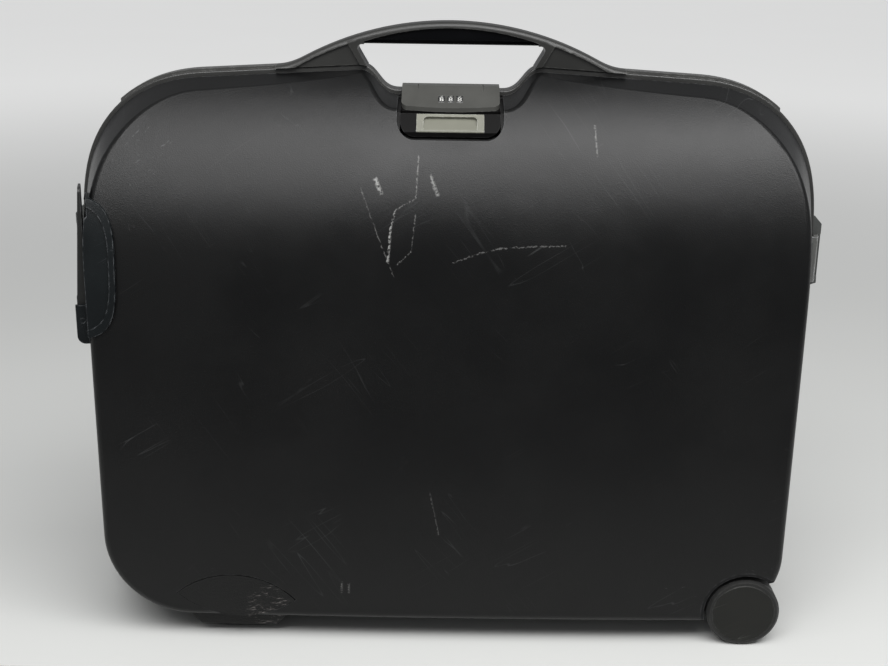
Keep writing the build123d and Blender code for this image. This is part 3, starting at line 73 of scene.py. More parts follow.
scene = bpy.context.scene
lens_and_film = bpy.data.cameras.new("camera")
lens_and_film.sensor_width = FILM_WIDTH
lens_and_film.lens = LENS
camera = bpy.data.objects.new("camera", lens_and_film)
scene.collection.objects.link(camera)
camera.matrix_world = (Matrix.Translation(CAMERA_PLACE)
                       @ Matrix.Rotation(math.radians(90.0 - LOOKING_DOWN), 4, "X")
                       @ Matrix.Rotation(math.radians(ROLL), 4, "Z"))
scene.camera = camera
print("camera at", tuple(round(v, 3) for v in camera.location))

# %% [markdown]
# ## Building node trees
# Each finish is a small program of shader nodes. A few helpers keep them readable: one adds a
# node and feeds its sockets, from a number or from another node, one adds a Math node, one a
# smooth ramp, and one gives the place on the surface. Effects that several finishes share are
# node groups with named sockets, made once.

# %% Helpers for nodes
def add_node(tree, kind, feeds=None, **settings):
    made = tree.nodes.new(kind)
    for name, value in settings.items():
        setattr(made, name, value)
    for socket, source in (feeds or {}).items():
        if isinstance(source, bpy.types.NodeSocket):
            tree.links.new(source, made.inputs[socket])
        else:
            made.inputs[socket].default_value = source
    return made


def work_out(tree, operation, *values, clamp=False):
    made = add_node(tree, "ShaderNodeMath", dict(enumerate(values)), operation=operation)
    made.use_clamp = clamp
    return made.outputs[0]


def fade(tree, value, start, end, low=0.0, high=1.0):
    """A smooth change from low to high as value goes from start to end."""
    made = add_node(tree, "ShaderNodeMapRange",
                    {"Value": value, "From Min": start, "From Max": end,
                     "To Min": low, "To Max": high}, interpolation_type="SMOOTHSTEP")
    return made.outputs["Result"]


def start_group(name, inputs, outputs):
    """A new shader node group with its named sockets."""
    tree = bpy.data.node_groups.new(name, "ShaderNodeTree")
    for label, kind, value in inputs:
        socket = tree.interface.new_socket(label, in_out="INPUT", socket_type=kind)
        socket.default_value = value
    for label in outputs:
        tree.interface.new_socket(label, in_out="OUTPUT", socket_type="NodeSocketFloat")
    return tree, add_node(tree, "NodeGroupInput"), add_node(tree, "NodeGroupOutput")


def surface_point(tree):
    """The place of the shaded point in the model's own frame."""
    return add_node(tree, "ShaderNodeTexCoord").outputs["Object"]


NUMBER, PLACE = "NodeSocketFloat", "NodeSocketVector"

# %% [markdown]
# ## Moulded grain
# The halves came out of a mould with an etched pebble, about a millimetre across. A soft
# Voronoi pattern gives the pebbles. A slow noise under it gives the patchy tone that a large
# moulding gets from handling, so that the black never looks like one flat colour.

# %% Node group: moulded grain
tree, given, result = start_group("moulded grain", [("Pebble Size", NUMBER, 0.0013),
                                                    ("Patch Size", NUMBER, 0.12)],
                                  ["Height", "Tone"])
here = surface_point(tree)
pebbles = add_node(tree, "ShaderNodeTexVoronoi",
                   {"Vector": here, "Scale": work_out(tree, "DIVIDE", 1.0,
                                                      given.outputs["Pebble Size"]),
                    "Smoothness": 0.6}, feature="SMOOTH_F1")
patches = add_node(tree, "ShaderNodeTexNoise",
                   {"Vector": here, "Scale": work_out(tree, "DIVIDE", 1.0,
                                                      given.outputs["Patch Size"]),
                    "Detail": 4.0, "Roughness": 0.6})
tree.links.new(pebbles.outputs["Distance"], result.inputs["Height"])
tree.links.new(fade(tree, patches.outputs["Fac"], 0.3, 0.7), result.inputs["Tone"])
moulded_grain = tree
print("made group", tree.name)

# %% [markdown]
# ## Rubbed edges
# Plastic edges that meet floors and car boots are polished and turn a shade lighter. The Bevel
# node gives a rounded normal near an edge, and where that differs from the true normal there is
# an edge. A noise breaks the band up, because real rubbing misses the hollows.

# %% Node group: rubbed edges
tree, given, result = start_group("rubbed edges", [("Reach", NUMBER, 0.0015),
                                                   ("Break Up", NUMBER, 180.0)], ["Mask"])
here = surface_point(tree)
rounded = add_node(tree, "ShaderNodeBevel", {"Radius": given.outputs["Reach"]}, samples=4)
true_normal = add_node(tree, "ShaderNodeNewGeometry").outputs["Normal"]
alike = add_node(tree, "ShaderNodeVectorMath", {0: rounded.outputs["Normal"], 1: true_normal},
                 operation="DOT_PRODUCT").outputs["Value"]
edge = fade(tree, alike, 0.99, 0.80)
breaks = add_node(tree, "ShaderNodeTexNoise", {"Vector": here, "Scale": given.outputs["Break Up"],
                                               "Detail": 3.0}).outputs["Fac"]
tree.links.new(work_out(tree, "MULTIPLY", edge, fade(tree, breaks, 0.35, 0.65)),
               result.inputs["Mask"])
rubbed_edges = tree
print("made group", tree.name)

# %% [markdown]
# ## A scratch between two points
# The lid carries a few long scratches that anyone would know the case by. Each is a straight
# stroke on the face: the distance from the surface point to the stroke, measured in the X-Z
# plane, is turned into a thin mask. One fine noise makes the stroke flake and lets it wander,
# so that it doesn't look ruled. Only the lid takes it, which lies in front of FRONT_PART.

# %% Node group: scratch
FRONT_PART = -0.02

tree, given, result = start_group("scratch", [("Start", PLACE, (0, 0, 0)),
                                              ("End", PLACE, (0, 0, 1)),
                                              ("Width", NUMBER, 0.0006),
                                              ("Wander", PLACE, (0.004, 0.004, 0.004)),
                                              ("Flaking", NUMBER, 0.4)], ["Mask"])
here = surface_point(tree)
shake = add_node(tree, "ShaderNodeTexNoise", {"Vector": here, "Scale": 420.0, "Detail": 3.0})


def vector_work(operation, first, second, output="Vector", socket=1):
    return add_node(tree, "ShaderNodeVectorMath", {0: first, socket: second},
                    operation=operation).outputs[output]


wander = vector_work("SUBTRACT", shake.outputs["Color"], (0.5, 0.5, 0.5))
wander = vector_work("MULTIPLY", wander, given.outputs["Wander"])
flat = vector_work("MULTIPLY", vector_work("ADD", here, wander), (1, 0, 1))
away = vector_work("SUBTRACT", flat, given.outputs["Start"])
along = vector_work("SUBTRACT", given.outputs["End"], given.outputs["Start"])
share = work_out(tree, "DIVIDE", vector_work("DOT_PRODUCT", away, along, "Value"),
                 vector_work("DOT_PRODUCT", along, along, "Value"), clamp=True)
nearest = vector_work("SCALE", along, share, socket="Scale")
gap = add_node(tree, "ShaderNodeVectorMath", {0: vector_work("SUBTRACT", away, nearest)},
               operation="LENGTH").outputs["Value"]
line = work_out(tree, "SUBTRACT", 1.0, work_out(tree, "DIVIDE", gap, given.outputs["Width"]),
                clamp=True)
flakes = work_out(tree, "SUBTRACT", shake.outputs["Fac"], given.outputs["Flaking"])
line = work_out(tree, "MULTIPLY", line, work_out(tree, "MULTIPLY", flakes, 6.0, clamp=True))
depth = add_node(tree, "ShaderNodeSeparateXYZ", {0: here}).outputs["Y"]
front = work_out(tree, "LESS_THAN", depth, FRONT_PART)
tree.links.new(work_out(tree, "MULTIPLY", line, front, clamp=True), result.inputs["Mask"])
scratch = tree
print("made group", tree.name)

# %% [markdown]
# ## Hairline scratches
# Beside the long strokes there are hundreds of hairlines, in a few main directions. A noise that
# is stretched along one direction has long level lines, and the places where it passes one half
# are thin curves. A second noise keeps only parts of them.

# %% Node group: hairlines
tree, given, result = start_group("hairlines", [("Turn", NUMBER, 0.0), ("Size", NUMBER, 0.05),
                                                ("Cover", NUMBER, 0.5)], ["Mask"])
here = surface_point(tree)
turned = add_node(tree, "ShaderNodeVectorRotate", {"Vector": here, "Angle": given.outputs["Turn"]},
                  rotation_type="Y_AXIS").outputs["Vector"]
drawn = add_node(tree, "ShaderNodeVectorMath", {0: turned, 1: (1.0, 2.0, 14.0)},
                 operation="MULTIPLY").outputs["Vector"]
per_metre = work_out(tree, "DIVIDE", 1.0, given.outputs["Size"])
level = add_node(tree, "ShaderNodeTexNoise", {"Vector": drawn, "Scale": work_out(
    tree, "MULTIPLY", per_metre, 0.35), "Detail": 1.5}).outputs["Fac"]
hair = fade(tree, work_out(tree, "ABSOLUTE", work_out(tree, "SUBTRACT", level, 0.5)), 0.006, 0.0)
keep = add_node(tree, "ShaderNodeTexNoise", {"Vector": turned, "Scale": per_metre,
                                             "Detail": 3.0}).outputs["Fac"]
limit = work_out(tree, "SUBTRACT", 0.75, work_out(tree, "MULTIPLY", given.outputs["Cover"], 0.4))
kept = work_out(tree, "MULTIPLY", work_out(tree, "SUBTRACT", keep, limit), 8.0, clamp=True)
tree.links.new(work_out(tree, "MULTIPLY", hair, kept), result.inputs["Mask"])
hairlines = tree
print("made group", tree.name)

# %% [markdown]
# ## Scuffs
# Where the case met a kerb or a conveyor it has pale, smeared patches. A scuff is a soft
# ball around a point, filled with short strokes from a stretched noise.

# %% Node group: scuff
tree, given, result = start_group("scuff", [("Centre", PLACE, (0, 0, 0)), ("Reach", NUMBER, 0.02),
                                            ("Turn", NUMBER, 0.6), ("Cover", NUMBER, 0.5)],
                                  ["Mask"])
here = surface_point(tree)
away = add_node(tree, "ShaderNodeVectorMath", {0: here, 1: given.outputs["Centre"]},
                operation="DISTANCE").outputs["Value"]
ball = work_out(tree, "SUBTRACT", 1.0, work_out(tree, "DIVIDE", away, given.outputs["Reach"]),
                clamp=True)
turned = add_node(tree, "ShaderNodeVectorRotate", {"Vector": here, "Angle": given.outputs["Turn"]},
                  rotation_type="Y_AXIS").outputs["Vector"]
smeared = add_node(tree, "ShaderNodeVectorMath", {0: turned, 1: (1.0, 1.0, 5.0)},
                   operation="MULTIPLY").outputs["Vector"]
strokes = add_node(tree, "ShaderNodeTexNoise", {"Vector": smeared, "Scale": 130.0,
                                                "Detail": 4.0, "Roughness": 0.65}).outputs["Fac"]
kept = work_out(tree, "SUBTRACT", strokes, work_out(tree, "SUBTRACT", 0.8, work_out(
    tree, "MULTIPLY", given.outputs["Cover"], 0.4)))
kept = work_out(tree, "MULTIPLY", kept, 7.0, clamp=True)
tree.links.new(work_out(tree, "MULTIPLY", kept, fade(tree, ball, 0.0, 0.5)),
               result.inputs["Mask"])
scuff = tree
print("made group", tree.name)

# %% [markdown]
# ## Woven cloth and brushed metal
# The lining and the straps are woven. Crossing waves give the threads over and under each other:
# the two directions are X plus Y and Z plus Y, so that the weave also follows the side walls.
# Brushed steel is a noise drawn out along one axis.

# %% Node groups: weave and brushing
tree, given, result = start_group("weave", [("Thread", NUMBER, 0.0012)], ["Height", "Tone"])
here = surface_point(tree)
split = add_node(tree, "ShaderNodeSeparateXYZ", {0: here})
turns = work_out(tree, "DIVIDE", math.pi, given.outputs["Thread"])


def thread_wave(axis):
    reach = work_out(tree, "ADD", split.outputs[axis], split.outputs["Y"])
    return work_out(tree, "SINE", work_out(tree, "MULTIPLY", reach, turns))


crossing = work_out(tree, "MULTIPLY", thread_wave("X"), thread_wave("Z"))
fuzz = add_node(tree, "ShaderNodeTexNoise",
                {"Vector": here, "Scale": 900.0, "Detail": 2.0}).outputs["Fac"]
tree.links.new(work_out(tree, "MULTIPLY_ADD", crossing, 0.5, 0.5), result.inputs["Height"])
tree.links.new(work_out(tree, "MULTIPLY_ADD", crossing, 0.25,
                        work_out(tree, "MULTIPLY", fuzz, 0.8)), result.inputs["Tone"])
weave = tree

tree, given, result = start_group("brushing", [("Draw Out", NUMBER, 40.0)], ["Height"])
here = surface_point(tree)
drawn = add_node(tree, "ShaderNodeVectorMath", {0: here, 1: (1.0, 30.0, 30.0)},
                 operation="MULTIPLY").outputs["Vector"]
lines = add_node(tree, "ShaderNodeTexNoise", {"Vector": drawn, "Scale": given.outputs["Draw Out"],
                                              "Detail": 3.0}).outputs["Fac"]
tree.links.new(lines, result.inputs["Height"])
brushing = tree
print("made groups", weave.name, brushing.name)

# %% [markdown]
# ## Putting a finish together
# Every finish starts the same way: a Principled shader, a base colour that its masks can
# lighten or darken, a roughness range, and a bump. The helpers below place a group, mix one
# colour over another by a mask, and connect a height to the normal. Numbers that are the same
# all over a surface are set straight on the shader.

# %% Helpers for finishes
def place_group(tree, group, **feeds):
    made = add_node(tree, "ShaderNodeGroup", node_tree=group)
    for name, value in feeds.items():
        made.inputs[name.replace("_", " ")].default_value = value
    return made


def blend_colour(tree, mask, under, over):
    made = add_node(tree, "ShaderNodeMix", data_type="RGBA")
    for index, source in ((0, mask), (6, under), (7, over)):
        if isinstance(source, bpy.types.NodeSocket):
            tree.links.new(source, made.inputs[index])
        else:
            made.inputs[index].default_value = source if index == 0 else (*source, 1.0)
    return made.outputs[2]


def start_finish(name, shine=0.5, **constants):
    material = bpy.data.materials.new(name)
    material.use_nodes = True
    tree = material.node_tree
    shader = tree.nodes["Principled BSDF"]
    shader.inputs["Specular IOR Level"].default_value = shine
    for socket, value in constants.items():
        shader.inputs[socket.replace("_", " ")].default_value = value
    return material, tree, shader


def connect(tree, shader, colour, roughness, height=None, bump=0.0002):
    tree.links.new(colour, shader.inputs["Base Color"])
    tree.links.new(roughness, shader.inputs["Roughness"])
    if height is not None:
        lift = add_node(tree, "ShaderNodeBump", {"Height": height, "Distance": bump,
                                                 "Strength": 1.0})
        tree.links.new(lift.outputs["Normal"], shader.inputs["Normal"])


def moulded(name, dark, light, rough, pebble, bump, shine, worn=(0.06, 0.06, 0.062),
            edge=0.0015, hair=0.35):
    """A moulded plastic: patchy tone, pebbles, rubbed edges and hairlines."""
    material, tree, shader = start_finish(name, shine)
    grain = place_group(tree, moulded_grain, Pebble_Size=pebble)
    edges = place_group(tree, rubbed_edges, Reach=edge)
    lines = place_group(tree, hairlines, Turn=0.5, Size=0.04, Cover=hair)
    colour = blend_colour(tree, grain.outputs["Tone"], dark, light)
    colour = blend_colour(tree, edges.outputs["Mask"], colour, worn)
    colour = blend_colour(tree, lines.outputs["Mask"], colour, worn)
    roughness = fade(tree, grain.outputs["Tone"], 0.0, 1.0, *rough)
    connect(tree, shader, colour, roughness, grain.outputs["Height"], bump)
    return material


# %% [markdown]
# ## The shell's finish
# The lid is nearly black, with a grain that catches the overhead light. On it lie the long
# scratches, given by where they start and end in millimetres along X and up Z, then hairlines
# in three directions, pale scuffs at the shoulders and lower corners, and one dark mark.
# The masks are mixed over the grain one after the other.

# %% Shell finish
LONG_SCRATCHES = [  # x, z to x, z in millimetres, width in millimetres, and how pale
    (-82, 466, -50, 386, 0.7, 0.35), (-28.5, 493, -30.6, 457, 0.9, 0.5),
    (-30.6, 457, -48.8, 447, 0.8, 0.45), (-48.8, 447, -53.2, 432, 1.1, 0.8),
    (-53.2, 432, -55.6, 401, 1.5, 1.0), (-67.8, 473, -62.9, 461, 2.6, 1.0),
    (-17.1, 476, -10.4, 460, 2.2, 0.7), (-30.4, 443, -34.5, 410, 0.7, 0.4),
    (-34.5, 410, -48.2, 397, 0.7, 0.4), (4.3, 400, 24.5, 408, 0.8, 0.3),
    (24.5, 408, 45.6, 413.6, 0.8, 0.35), (45.6, 413.6, 75, 416, 0.9, 0.35),
    (75, 416, 108, 417, 0.9, 0.35), (134.7, 521, 136.6, 495, 1.3, 0.5),
    (-14.3, 169.5, -5, 124, 0.7, 0.3), (-101.3, 68, -101.4, 57, 1.4, 0.35),
    (-94.3, 68, -94.4, 57, 1.4, 0.35),
]
SCUFFS = [  # x, y, z and reach in millimetres, turn, cover
    (-287, -60, 490, 45, 0.8, 0.45), (-240, -94, 55, 60, 0.2, 0.3), (320, -90, 60, 40, -0.6, 0.5),
    (-330, -60, 60, 55, 1.0, 0.4), (200, -98, 40, 90, 0.1, 0.3), (290, -60, 480, 60, -0.8, 0.3),
]


def lay_scuffs(tree, colour, patches, pale):
    """The colour with every scuff of a list mixed over it."""
    for x, y, z, reach, turn, cover in patches:
        patch = place_group(tree, scuff, Centre=(x / 1000, y / 1000, z / 1000),
                            Reach=reach / 1000, Turn=turn, Cover=cover)
        colour = blend_colour(tree, patch.outputs["Mask"], colour, pale)
    return colour


def shell_finish():
    material, tree, shader = start_finish("shell", 0.3)
    grain = place_group(tree, moulded_grain, Pebble_Size=0.0009, Patch_Size=0.16)
    colour = blend_colour(tree, grain.outputs["Tone"], (0.0016, 0.0017, 0.0018),
                          (0.0034, 0.0035, 0.0035))
    edges = place_group(tree, rubbed_edges, Reach=0.0018)
    colour = blend_colour(tree, edges.outputs["Mask"], colour, (0.045, 0.046, 0.048))
    for turn, size, cover in ((0.55, 0.09, 0.42), (-0.9, 0.06, 0.36), (2.2, 0.12, 0.4)):
        lines = place_group(tree, hairlines, Turn=turn, Size=size, Cover=cover)
        colour = blend_colour(tree, lines.outputs["Mask"], colour, (0.026, 0.027, 0.027))
    colour = lay_scuffs(tree, colour, SCUFFS, (0.075, 0.077, 0.078))
    for x, z, x2, z2, width, pale in LONG_SCRATCHES:
        mark = place_group(tree, scratch, Start=(x / 1000, 0, z / 1000),
                           End=(x2 / 1000, 0, z2 / 1000), Width=width / 1000, Flaking=0.4)
        colour = blend_colour(tree, mark.outputs["Mask"], colour,
                              (0.30 * pale, 0.30 * pale, 0.29 * pale))
    burn = place_group(tree, scratch, Start=(0.003, 0, 0.185), End=(0.020, 0, 0.174),
                       Width=0.003, Flaking=0.42)
    colour = blend_colour(tree, burn.outputs["Mask"], colour, (0.001, 0.001, 0.001))
    roughness = fade(tree, grain.outputs["Tone"], 0.0, 1.0, 0.31, 0.38)
    connect(tree, shader, colour, roughness, grain.outputs["Height"], 0.00009)
    return material


finishes = {"shell": shell_finish()}
print("shell finish has", len(finishes["shell"].node_tree.nodes), "nodes")

# %% [markdown]
# ## The other plastics
# Trim, handle, lock and feet are the same family of black plastics, but each is a little
# glossier or duller than its neighbour, as separately moulded pieces are. The lock's button is a
# pale grey-green, and the side latches are grey. Each line gives the darker and the lighter
# tone, the roughness range, the pebble's size and height, the shine, and the worn edges' tone,
# their width and how much of the surface the hairlines cover.

# %% Plastic finishes
finishes["rim"] = moulded("rim", (0.022, 0.022, 0.021), (0.034, 0.034, 0.032), (0.30, 0.42),
                          0.0008, 0.0001, 0.5, (0.12, 0.12, 0.115), 0.0012)
finishes["trim"] = moulded("trim", (0.04, 0.04, 0.038), (0.06, 0.06, 0.057), (0.3, 0.42),
                           0.0007, 0.00005, 0.55, (0.24, 0.24, 0.23), 0.001)
finishes["handle"] = moulded("handle", (0.014, 0.014, 0.013), (0.024, 0.024, 0.022),
                             (0.36, 0.46), 0.001, 0.00006, 0.5, (0.08, 0.08, 0.075))
finishes["lock"] = moulded("lock", (0.0022, 0.002, 0.002), (0.004, 0.0038, 0.0038), (0.3, 0.38),
                           0.0009, 0.00002, 0.1, (0.04, 0.04, 0.04), 0.0008)
finishes["cover"] = moulded("cover", (0.045, 0.045, 0.041), (0.06, 0.06, 0.055), (0.34, 0.46),
                            0.0009, 0.00006, 0.6, (0.12, 0.12, 0.112), 0.0008)
finishes["button"] = moulded("button", (0.155, 0.155, 0.126), (0.195, 0.195, 0.16), (0.36, 0.5),
                             0.0009, 0.00005, 0.4, (0.55, 0.56, 0.5), 0.0008, 0.2)
finishes["latch"] = moulded("latch", (0.05, 0.052, 0.05), (0.075, 0.078, 0.075), (0.36, 0.5),
                            0.001, 0.00015, 0.45, (0.14, 0.145, 0.14))
finishes["latch_lever"] = moulded("latch_lever", (0.09, 0.092, 0.087), (0.13, 0.132, 0.126),
                                  (0.34, 0.48), 0.0009, 0.00008, 0.45, (0.4, 0.4, 0.41))
finishes["pull_base"] = moulded("pull_base", (0.004, 0.0052, 0.0058), (0.007, 0.009, 0.0098),
                                (0.3, 0.42), 0.001, 0.00005, 0.22, (0.10, 0.105, 0.11), 0.0016)
finishes["pull_arm"] = moulded("pull_arm", (0.014, 0.0145, 0.014), (0.022, 0.0225, 0.0215),
                               (0.32, 0.44), 0.001, 0.00006, 0.3, (0.07, 0.07, 0.072))
finishes["well"] = moulded("well", (0.003, 0.003, 0.0032), (0.006, 0.006, 0.0065), (0.5, 0.65),
                           0.0012, 0.0001, 0.2)
finishes["hub"] = moulded("hub", (0.007, 0.0072, 0.0062), (0.012, 0.0122, 0.0105), (0.36, 0.5),
                          0.0009, 0.00008, 0.28, (0.06, 0.06, 0.055), 0.0012, 0.7)
finishes["buckle"] = moulded("buckle", (0.01, 0.01, 0.011), (0.016, 0.016, 0.017), (0.25, 0.38),
                             0.0009, 0.00006, 0.5)
finishes["dial"] = moulded("dial", (0.008, 0.008, 0.009), (0.012, 0.012, 0.013), (0.25, 0.36),
                           0.0006, 0.00003, 0.5)
print("plastic finishes:", len(finishes))

# %% [markdown]
# ## Feet, rubber and steel
# The feet are black plastic that has been dragged over floors, so each has pale scuffs on its
# lower right. The tyres are rubber: dull, with dust in the grain. The grip under the handle is
# the opposite, a smooth black plastic that hands have polished.
# Hinges, pins and the lock's hook are plain brushed steel.

# %% Feet, rubber and steel finishes
FOOT_SCUFFS = [  # x, y, z and reach in millimetres, turn, cover
    (-172, -98, 42, 30, 0.15, 0.55), (-176, -96, 20, 34, 0.0, 0.6),
    (-175, 98, 40, 32, 0.15, 0.5), (-180, 95, 18, 34, 0, 0.6),
]


def foot_finish():
    material, tree, shader = start_finish("foot", 0.3)
    grain = place_group(tree, moulded_grain, Pebble_Size=0.0012, Patch_Size=0.05)
    colour = blend_colour(tree, grain.outputs["Tone"], (0.0022, 0.0023, 0.0023),
                          (0.0044, 0.0045, 0.0044))
    colour = lay_scuffs(tree, colour, FOOT_SCUFFS, (0.17, 0.155, 0.15))
    edges = place_group(tree, rubbed_edges, Reach=0.001)
    colour = blend_colour(tree, edges.outputs["Mask"], colour, (0.02, 0.02, 0.02))
    roughness = fade(tree, grain.outputs["Tone"], 0.0, 1.0, 0.36, 0.46)
    connect(tree, shader, colour, roughness, grain.outputs["Height"], 0.00025)
    return material


def rubber_finish(name, dark, light, dust, rough):
    material, tree, shader = start_finish(name, 0.3, Sheen_Weight=0.1, Sheen_Roughness=0.6)
    grain = place_group(tree, moulded_grain, Pebble_Size=0.0008, Patch_Size=0.03)
    edges = place_group(tree, rubbed_edges, Reach=0.002, Break_Up=260.0)
    colour = blend_colour(tree, grain.outputs["Tone"], dark, light)
    colour = blend_colour(tree, edges.outputs["Mask"], colour, dust)
    connect(tree, shader, colour, fade(tree, grain.outputs["Tone"], 0, 1, *rough),
            grain.outputs["Height"], 0.00012)
    return material


def steel_finish():
    material, tree, shader = start_finish("steel", 0.5, Metallic=1.0)
    lines = place_group(tree, brushing, Draw_Out=60.0)
    edges = place_group(tree, rubbed_edges, Reach=0.0006)
    colour = blend_colour(tree, lines.outputs["Height"], (0.42, 0.42, 0.43), (0.6, 0.6, 0.61))
    colour = blend_colour(tree, edges.outputs["Mask"], colour, (0.72, 0.72, 0.72))
    connect(tree, shader, colour, fade(tree, lines.outputs["Height"], 0.2, 0.8, 0.28, 0.46),
            lines.outputs["Height"], 0.00004)
    return material


finishes["foot"] = foot_finish()
finishes["tyre"] = rubber_finish("tyre", (0.006, 0.0062, 0.0056), (0.012, 0.012, 0.011),
                                 (0.05, 0.05, 0.046), (0.6, 0.8))
finishes["grip"] = moulded("grip", (0.0012, 0.0013, 0.0017), (0.0022, 0.0024, 0.003),
                           (0.2, 0.3), 0.0008, 0.00002, 0.1, (0.012, 0.013, 0.015), 0.001)
finishes["gasket"] = rubber_finish("gasket", (0.006, 0.006, 0.006), (0.01, 0.01, 0.01),
                                   (0.03, 0.03, 0.03), (0.55, 0.7))
finishes["steel"] = steel_finish()
print("finishes so far:", len(finishes))

# %% [markdown]
# ## Cloth finishes
# The lining is a thin woven nylon over foam, and the straps are heavy webbing. Both use the
# weave, the straps with threads twice as thick, and both get a soft sheen at a low angle.

# %% Cloth finishes
def cloth_finish(name, dark, light, thread, bump, patch):
    material, tree, shader = start_finish(name, 0.25, Sheen_Weight=0.35, Sheen_Roughness=0.45)
    cloth = place_group(tree, weave, Thread=thread)
    grain = place_group(tree, moulded_grain, Pebble_Size=0.004, Patch_Size=patch)
    colour = blend_colour(tree, cloth.outputs["Tone"], dark, light)
    colour = blend_colour(tree, work_out(tree, "MULTIPLY", grain.outputs["Tone"], 0.35), colour,
                          tuple(0.6 * c for c in dark))
    connect(tree, shader, colour, fade(tree, cloth.outputs["Tone"], 0, 1, 0.72, 0.88),
            cloth.outputs["Height"], bump)
    return material


finishes["lining"] = cloth_finish("lining", (0.055, 0.057, 0.062), (0.12, 0.122, 0.13),
                                  0.0011, 0.0003, 0.09)
finishes["strap"] = cloth_finish("strap", (0.012, 0.012, 0.013), (0.04, 0.04, 0.042),
                                 0.0024, 0.0006, 0.05)
print("cloth finishes made")

# %% [markdown]
# ## Dressing the rigid pieces
# The record says which finish each piece takes. A piece of the model keeps its mesh: only the
# material in its slot changes. Pieces with curved walls are shaded smooth by angle through
# their stored normals, which stay as they are. The pull handle's pin is painted like its base.

# %% Give each piece its finish
slot_of = {part["node"]: part["material_slot"] for part in frame["record"]["subparts"]}
for name, piece in pieces.items():
    piece.data.materials.clear()
    piece.data.materials.append(finishes[slot_of[name]])
pieces["pull_pin"].data.materials[0] = finishes["pull_base"]
print("dressed", len(slot_of), "pieces")

# %% [markdown]
# ## Numerals on the dials
# Each dial carries the ten digits. They are real raised shapes: text turned into a mesh, thin
# as paint, stood on the ring at one tenth of a turn each, and joined to one piece per dial so
# that it turns with it. The digit that shows at rest faces the window in the lock's cover.

# %% Dial numerals
def numeral_finish():
    material, tree, shader = start_finish("numeral", 0.4)
    grain = place_group(tree, moulded_grain, Pebble_Size=0.0005, Patch_Size=0.004)
    colour = blend_colour(tree, grain.outputs["Tone"], (0.42, 0.42, 0.4), (0.6, 0.6, 0.57))
    connect(tree, shader, colour, fade(tree, grain.outputs["Tone"], 0, 1, 0.4, 0.5))
    return material


numeral_paint = numeral_finish()
NUMERAL_HEIGHT = 0.0066
NUMERAL_WIDEN = 1.3
PAINT_HEIGHT = 0.00004
DIGIT_STEP = 36  # degrees
WINDOW_ANGLE = 42  # degrees from straight up, towards the front
SHOWN_DIGIT = 8


def digit_mesh(digit):
    text = bpy.data.curves.new("digit", "FONT")
    text.body = str(digit)
    text.size = NUMERAL_HEIGHT
    text.align_x, text.align_y = "CENTER", "CENTER"
    text.extrude = PAINT_HEIGHT
    text.resolution_u = 3
    holder = bpy.data.objects.new("digit", text)
    mesh = bpy.data.meshes.new_from_object(holder)
    bpy.data.objects.remove(holder)
    return mesh


def numerals(side):
    ring_low, ring_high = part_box(f"number_dial_{side}")
    middle = (ring_low + ring_high) / 2
    radius = (ring_high.z - ring_low.z) / 2
    verts, faces = [], []
    for digit in range(10):
        mesh = digit_mesh(digit)
        turn = math.radians(DIGIT_STEP * (digit - SHOWN_DIGIT) + WINDOW_ANGLE)
        place = (Matrix.Translation(middle) @ Matrix.Rotation(turn, 4, "X")
                 @ Matrix.Translation((0, 0, radius)))
        start = len(verts)
        verts += [place @ Vector((v.co.x * NUMERAL_WIDEN, v.co.y, v.co.z))
                  for v in mesh.vertices]
        faces += [[start + i for i in p.vertices] for p in mesh.polygons]
        bpy.data.meshes.remove(mesh)
    made = bpy.data.meshes.new(f"numerals_{side}")
    made.from_pydata(verts, [], faces)
    made.materials.append(numeral_paint)
    piece = bpy.data.objects.new(f"numerals_{side}", made)
    scene.collection.objects.link(piece)
    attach(piece, f"dial_{side}")
    return piece


for side in ("left", "middle", "right"):
    print(side, "dial numerals:", len(numerals(side).data.polygons), "faces")

# %% [markdown]
# ## The cloth lining
# A lining is a sheet glued into each half over thin foam. It could be copied from the model's
# thin solid, but that has long narrow faces that shade badly. Instead a regular grid is laid on
# it: rays go out from the middle of the case, first level by level to the side walls, then
# towards the face in smaller and smaller rings, and where they meet the inside a vertex is set.
# The cloth bridges the wheel well and its axle: around each ray more rays look for them, and
# the nearest hit counts. Gentle puckers are added, strongest near the sewn edge.

# %% Lining
WALL_RINGS = 15
FACE_RINGS = [0.97, 0.94, 0.9, 0.85] + [0.8 - 0.8 * i / 14 for i in range(14)]
AROUND = 220
WALL_STOPS = 0.026  # short of the deepest place, where the wall turns into the face
BRIDGE, WELL_ROOM = 0.014, 0.002
FOAM = 0.0006
FACE_PUCKER, WALL_PUCKER, EDGE_PUCKER = 0.0016, 0.0008, 0.0012


def surface_of(names):
    verts, faces = [], []
    for name in names:
        start = len(verts)
        verts += [v.co.copy() for v in pieces[name].data.vertices]
        faces += [[start + i for i in p.vertices] for p in pieces[name].data.polygons]
    return BVHTree.FromPolygons(verts, faces)


def meet(surfaces, start, aim, across):
    """Where a ray from start meets the lining, or the wheel well anywhere near its path."""
    lining, well = surfaces
    hit = lining.ray_cast(start, aim)[0]
    reaches = [(hit - start).length] if hit else []
    for one in (-BRIDGE, 0, BRIDGE):
        for two in (-BRIDGE, 0, BRIDGE):
            begin = start + across[0] * one + across[1] * two
            hit = well.ray_cast(begin, aim)[0]
            if hit:
                reaches.append((hit - begin).length - WELL_ROOM)
    return start + aim * min(reaches) if reaches else None


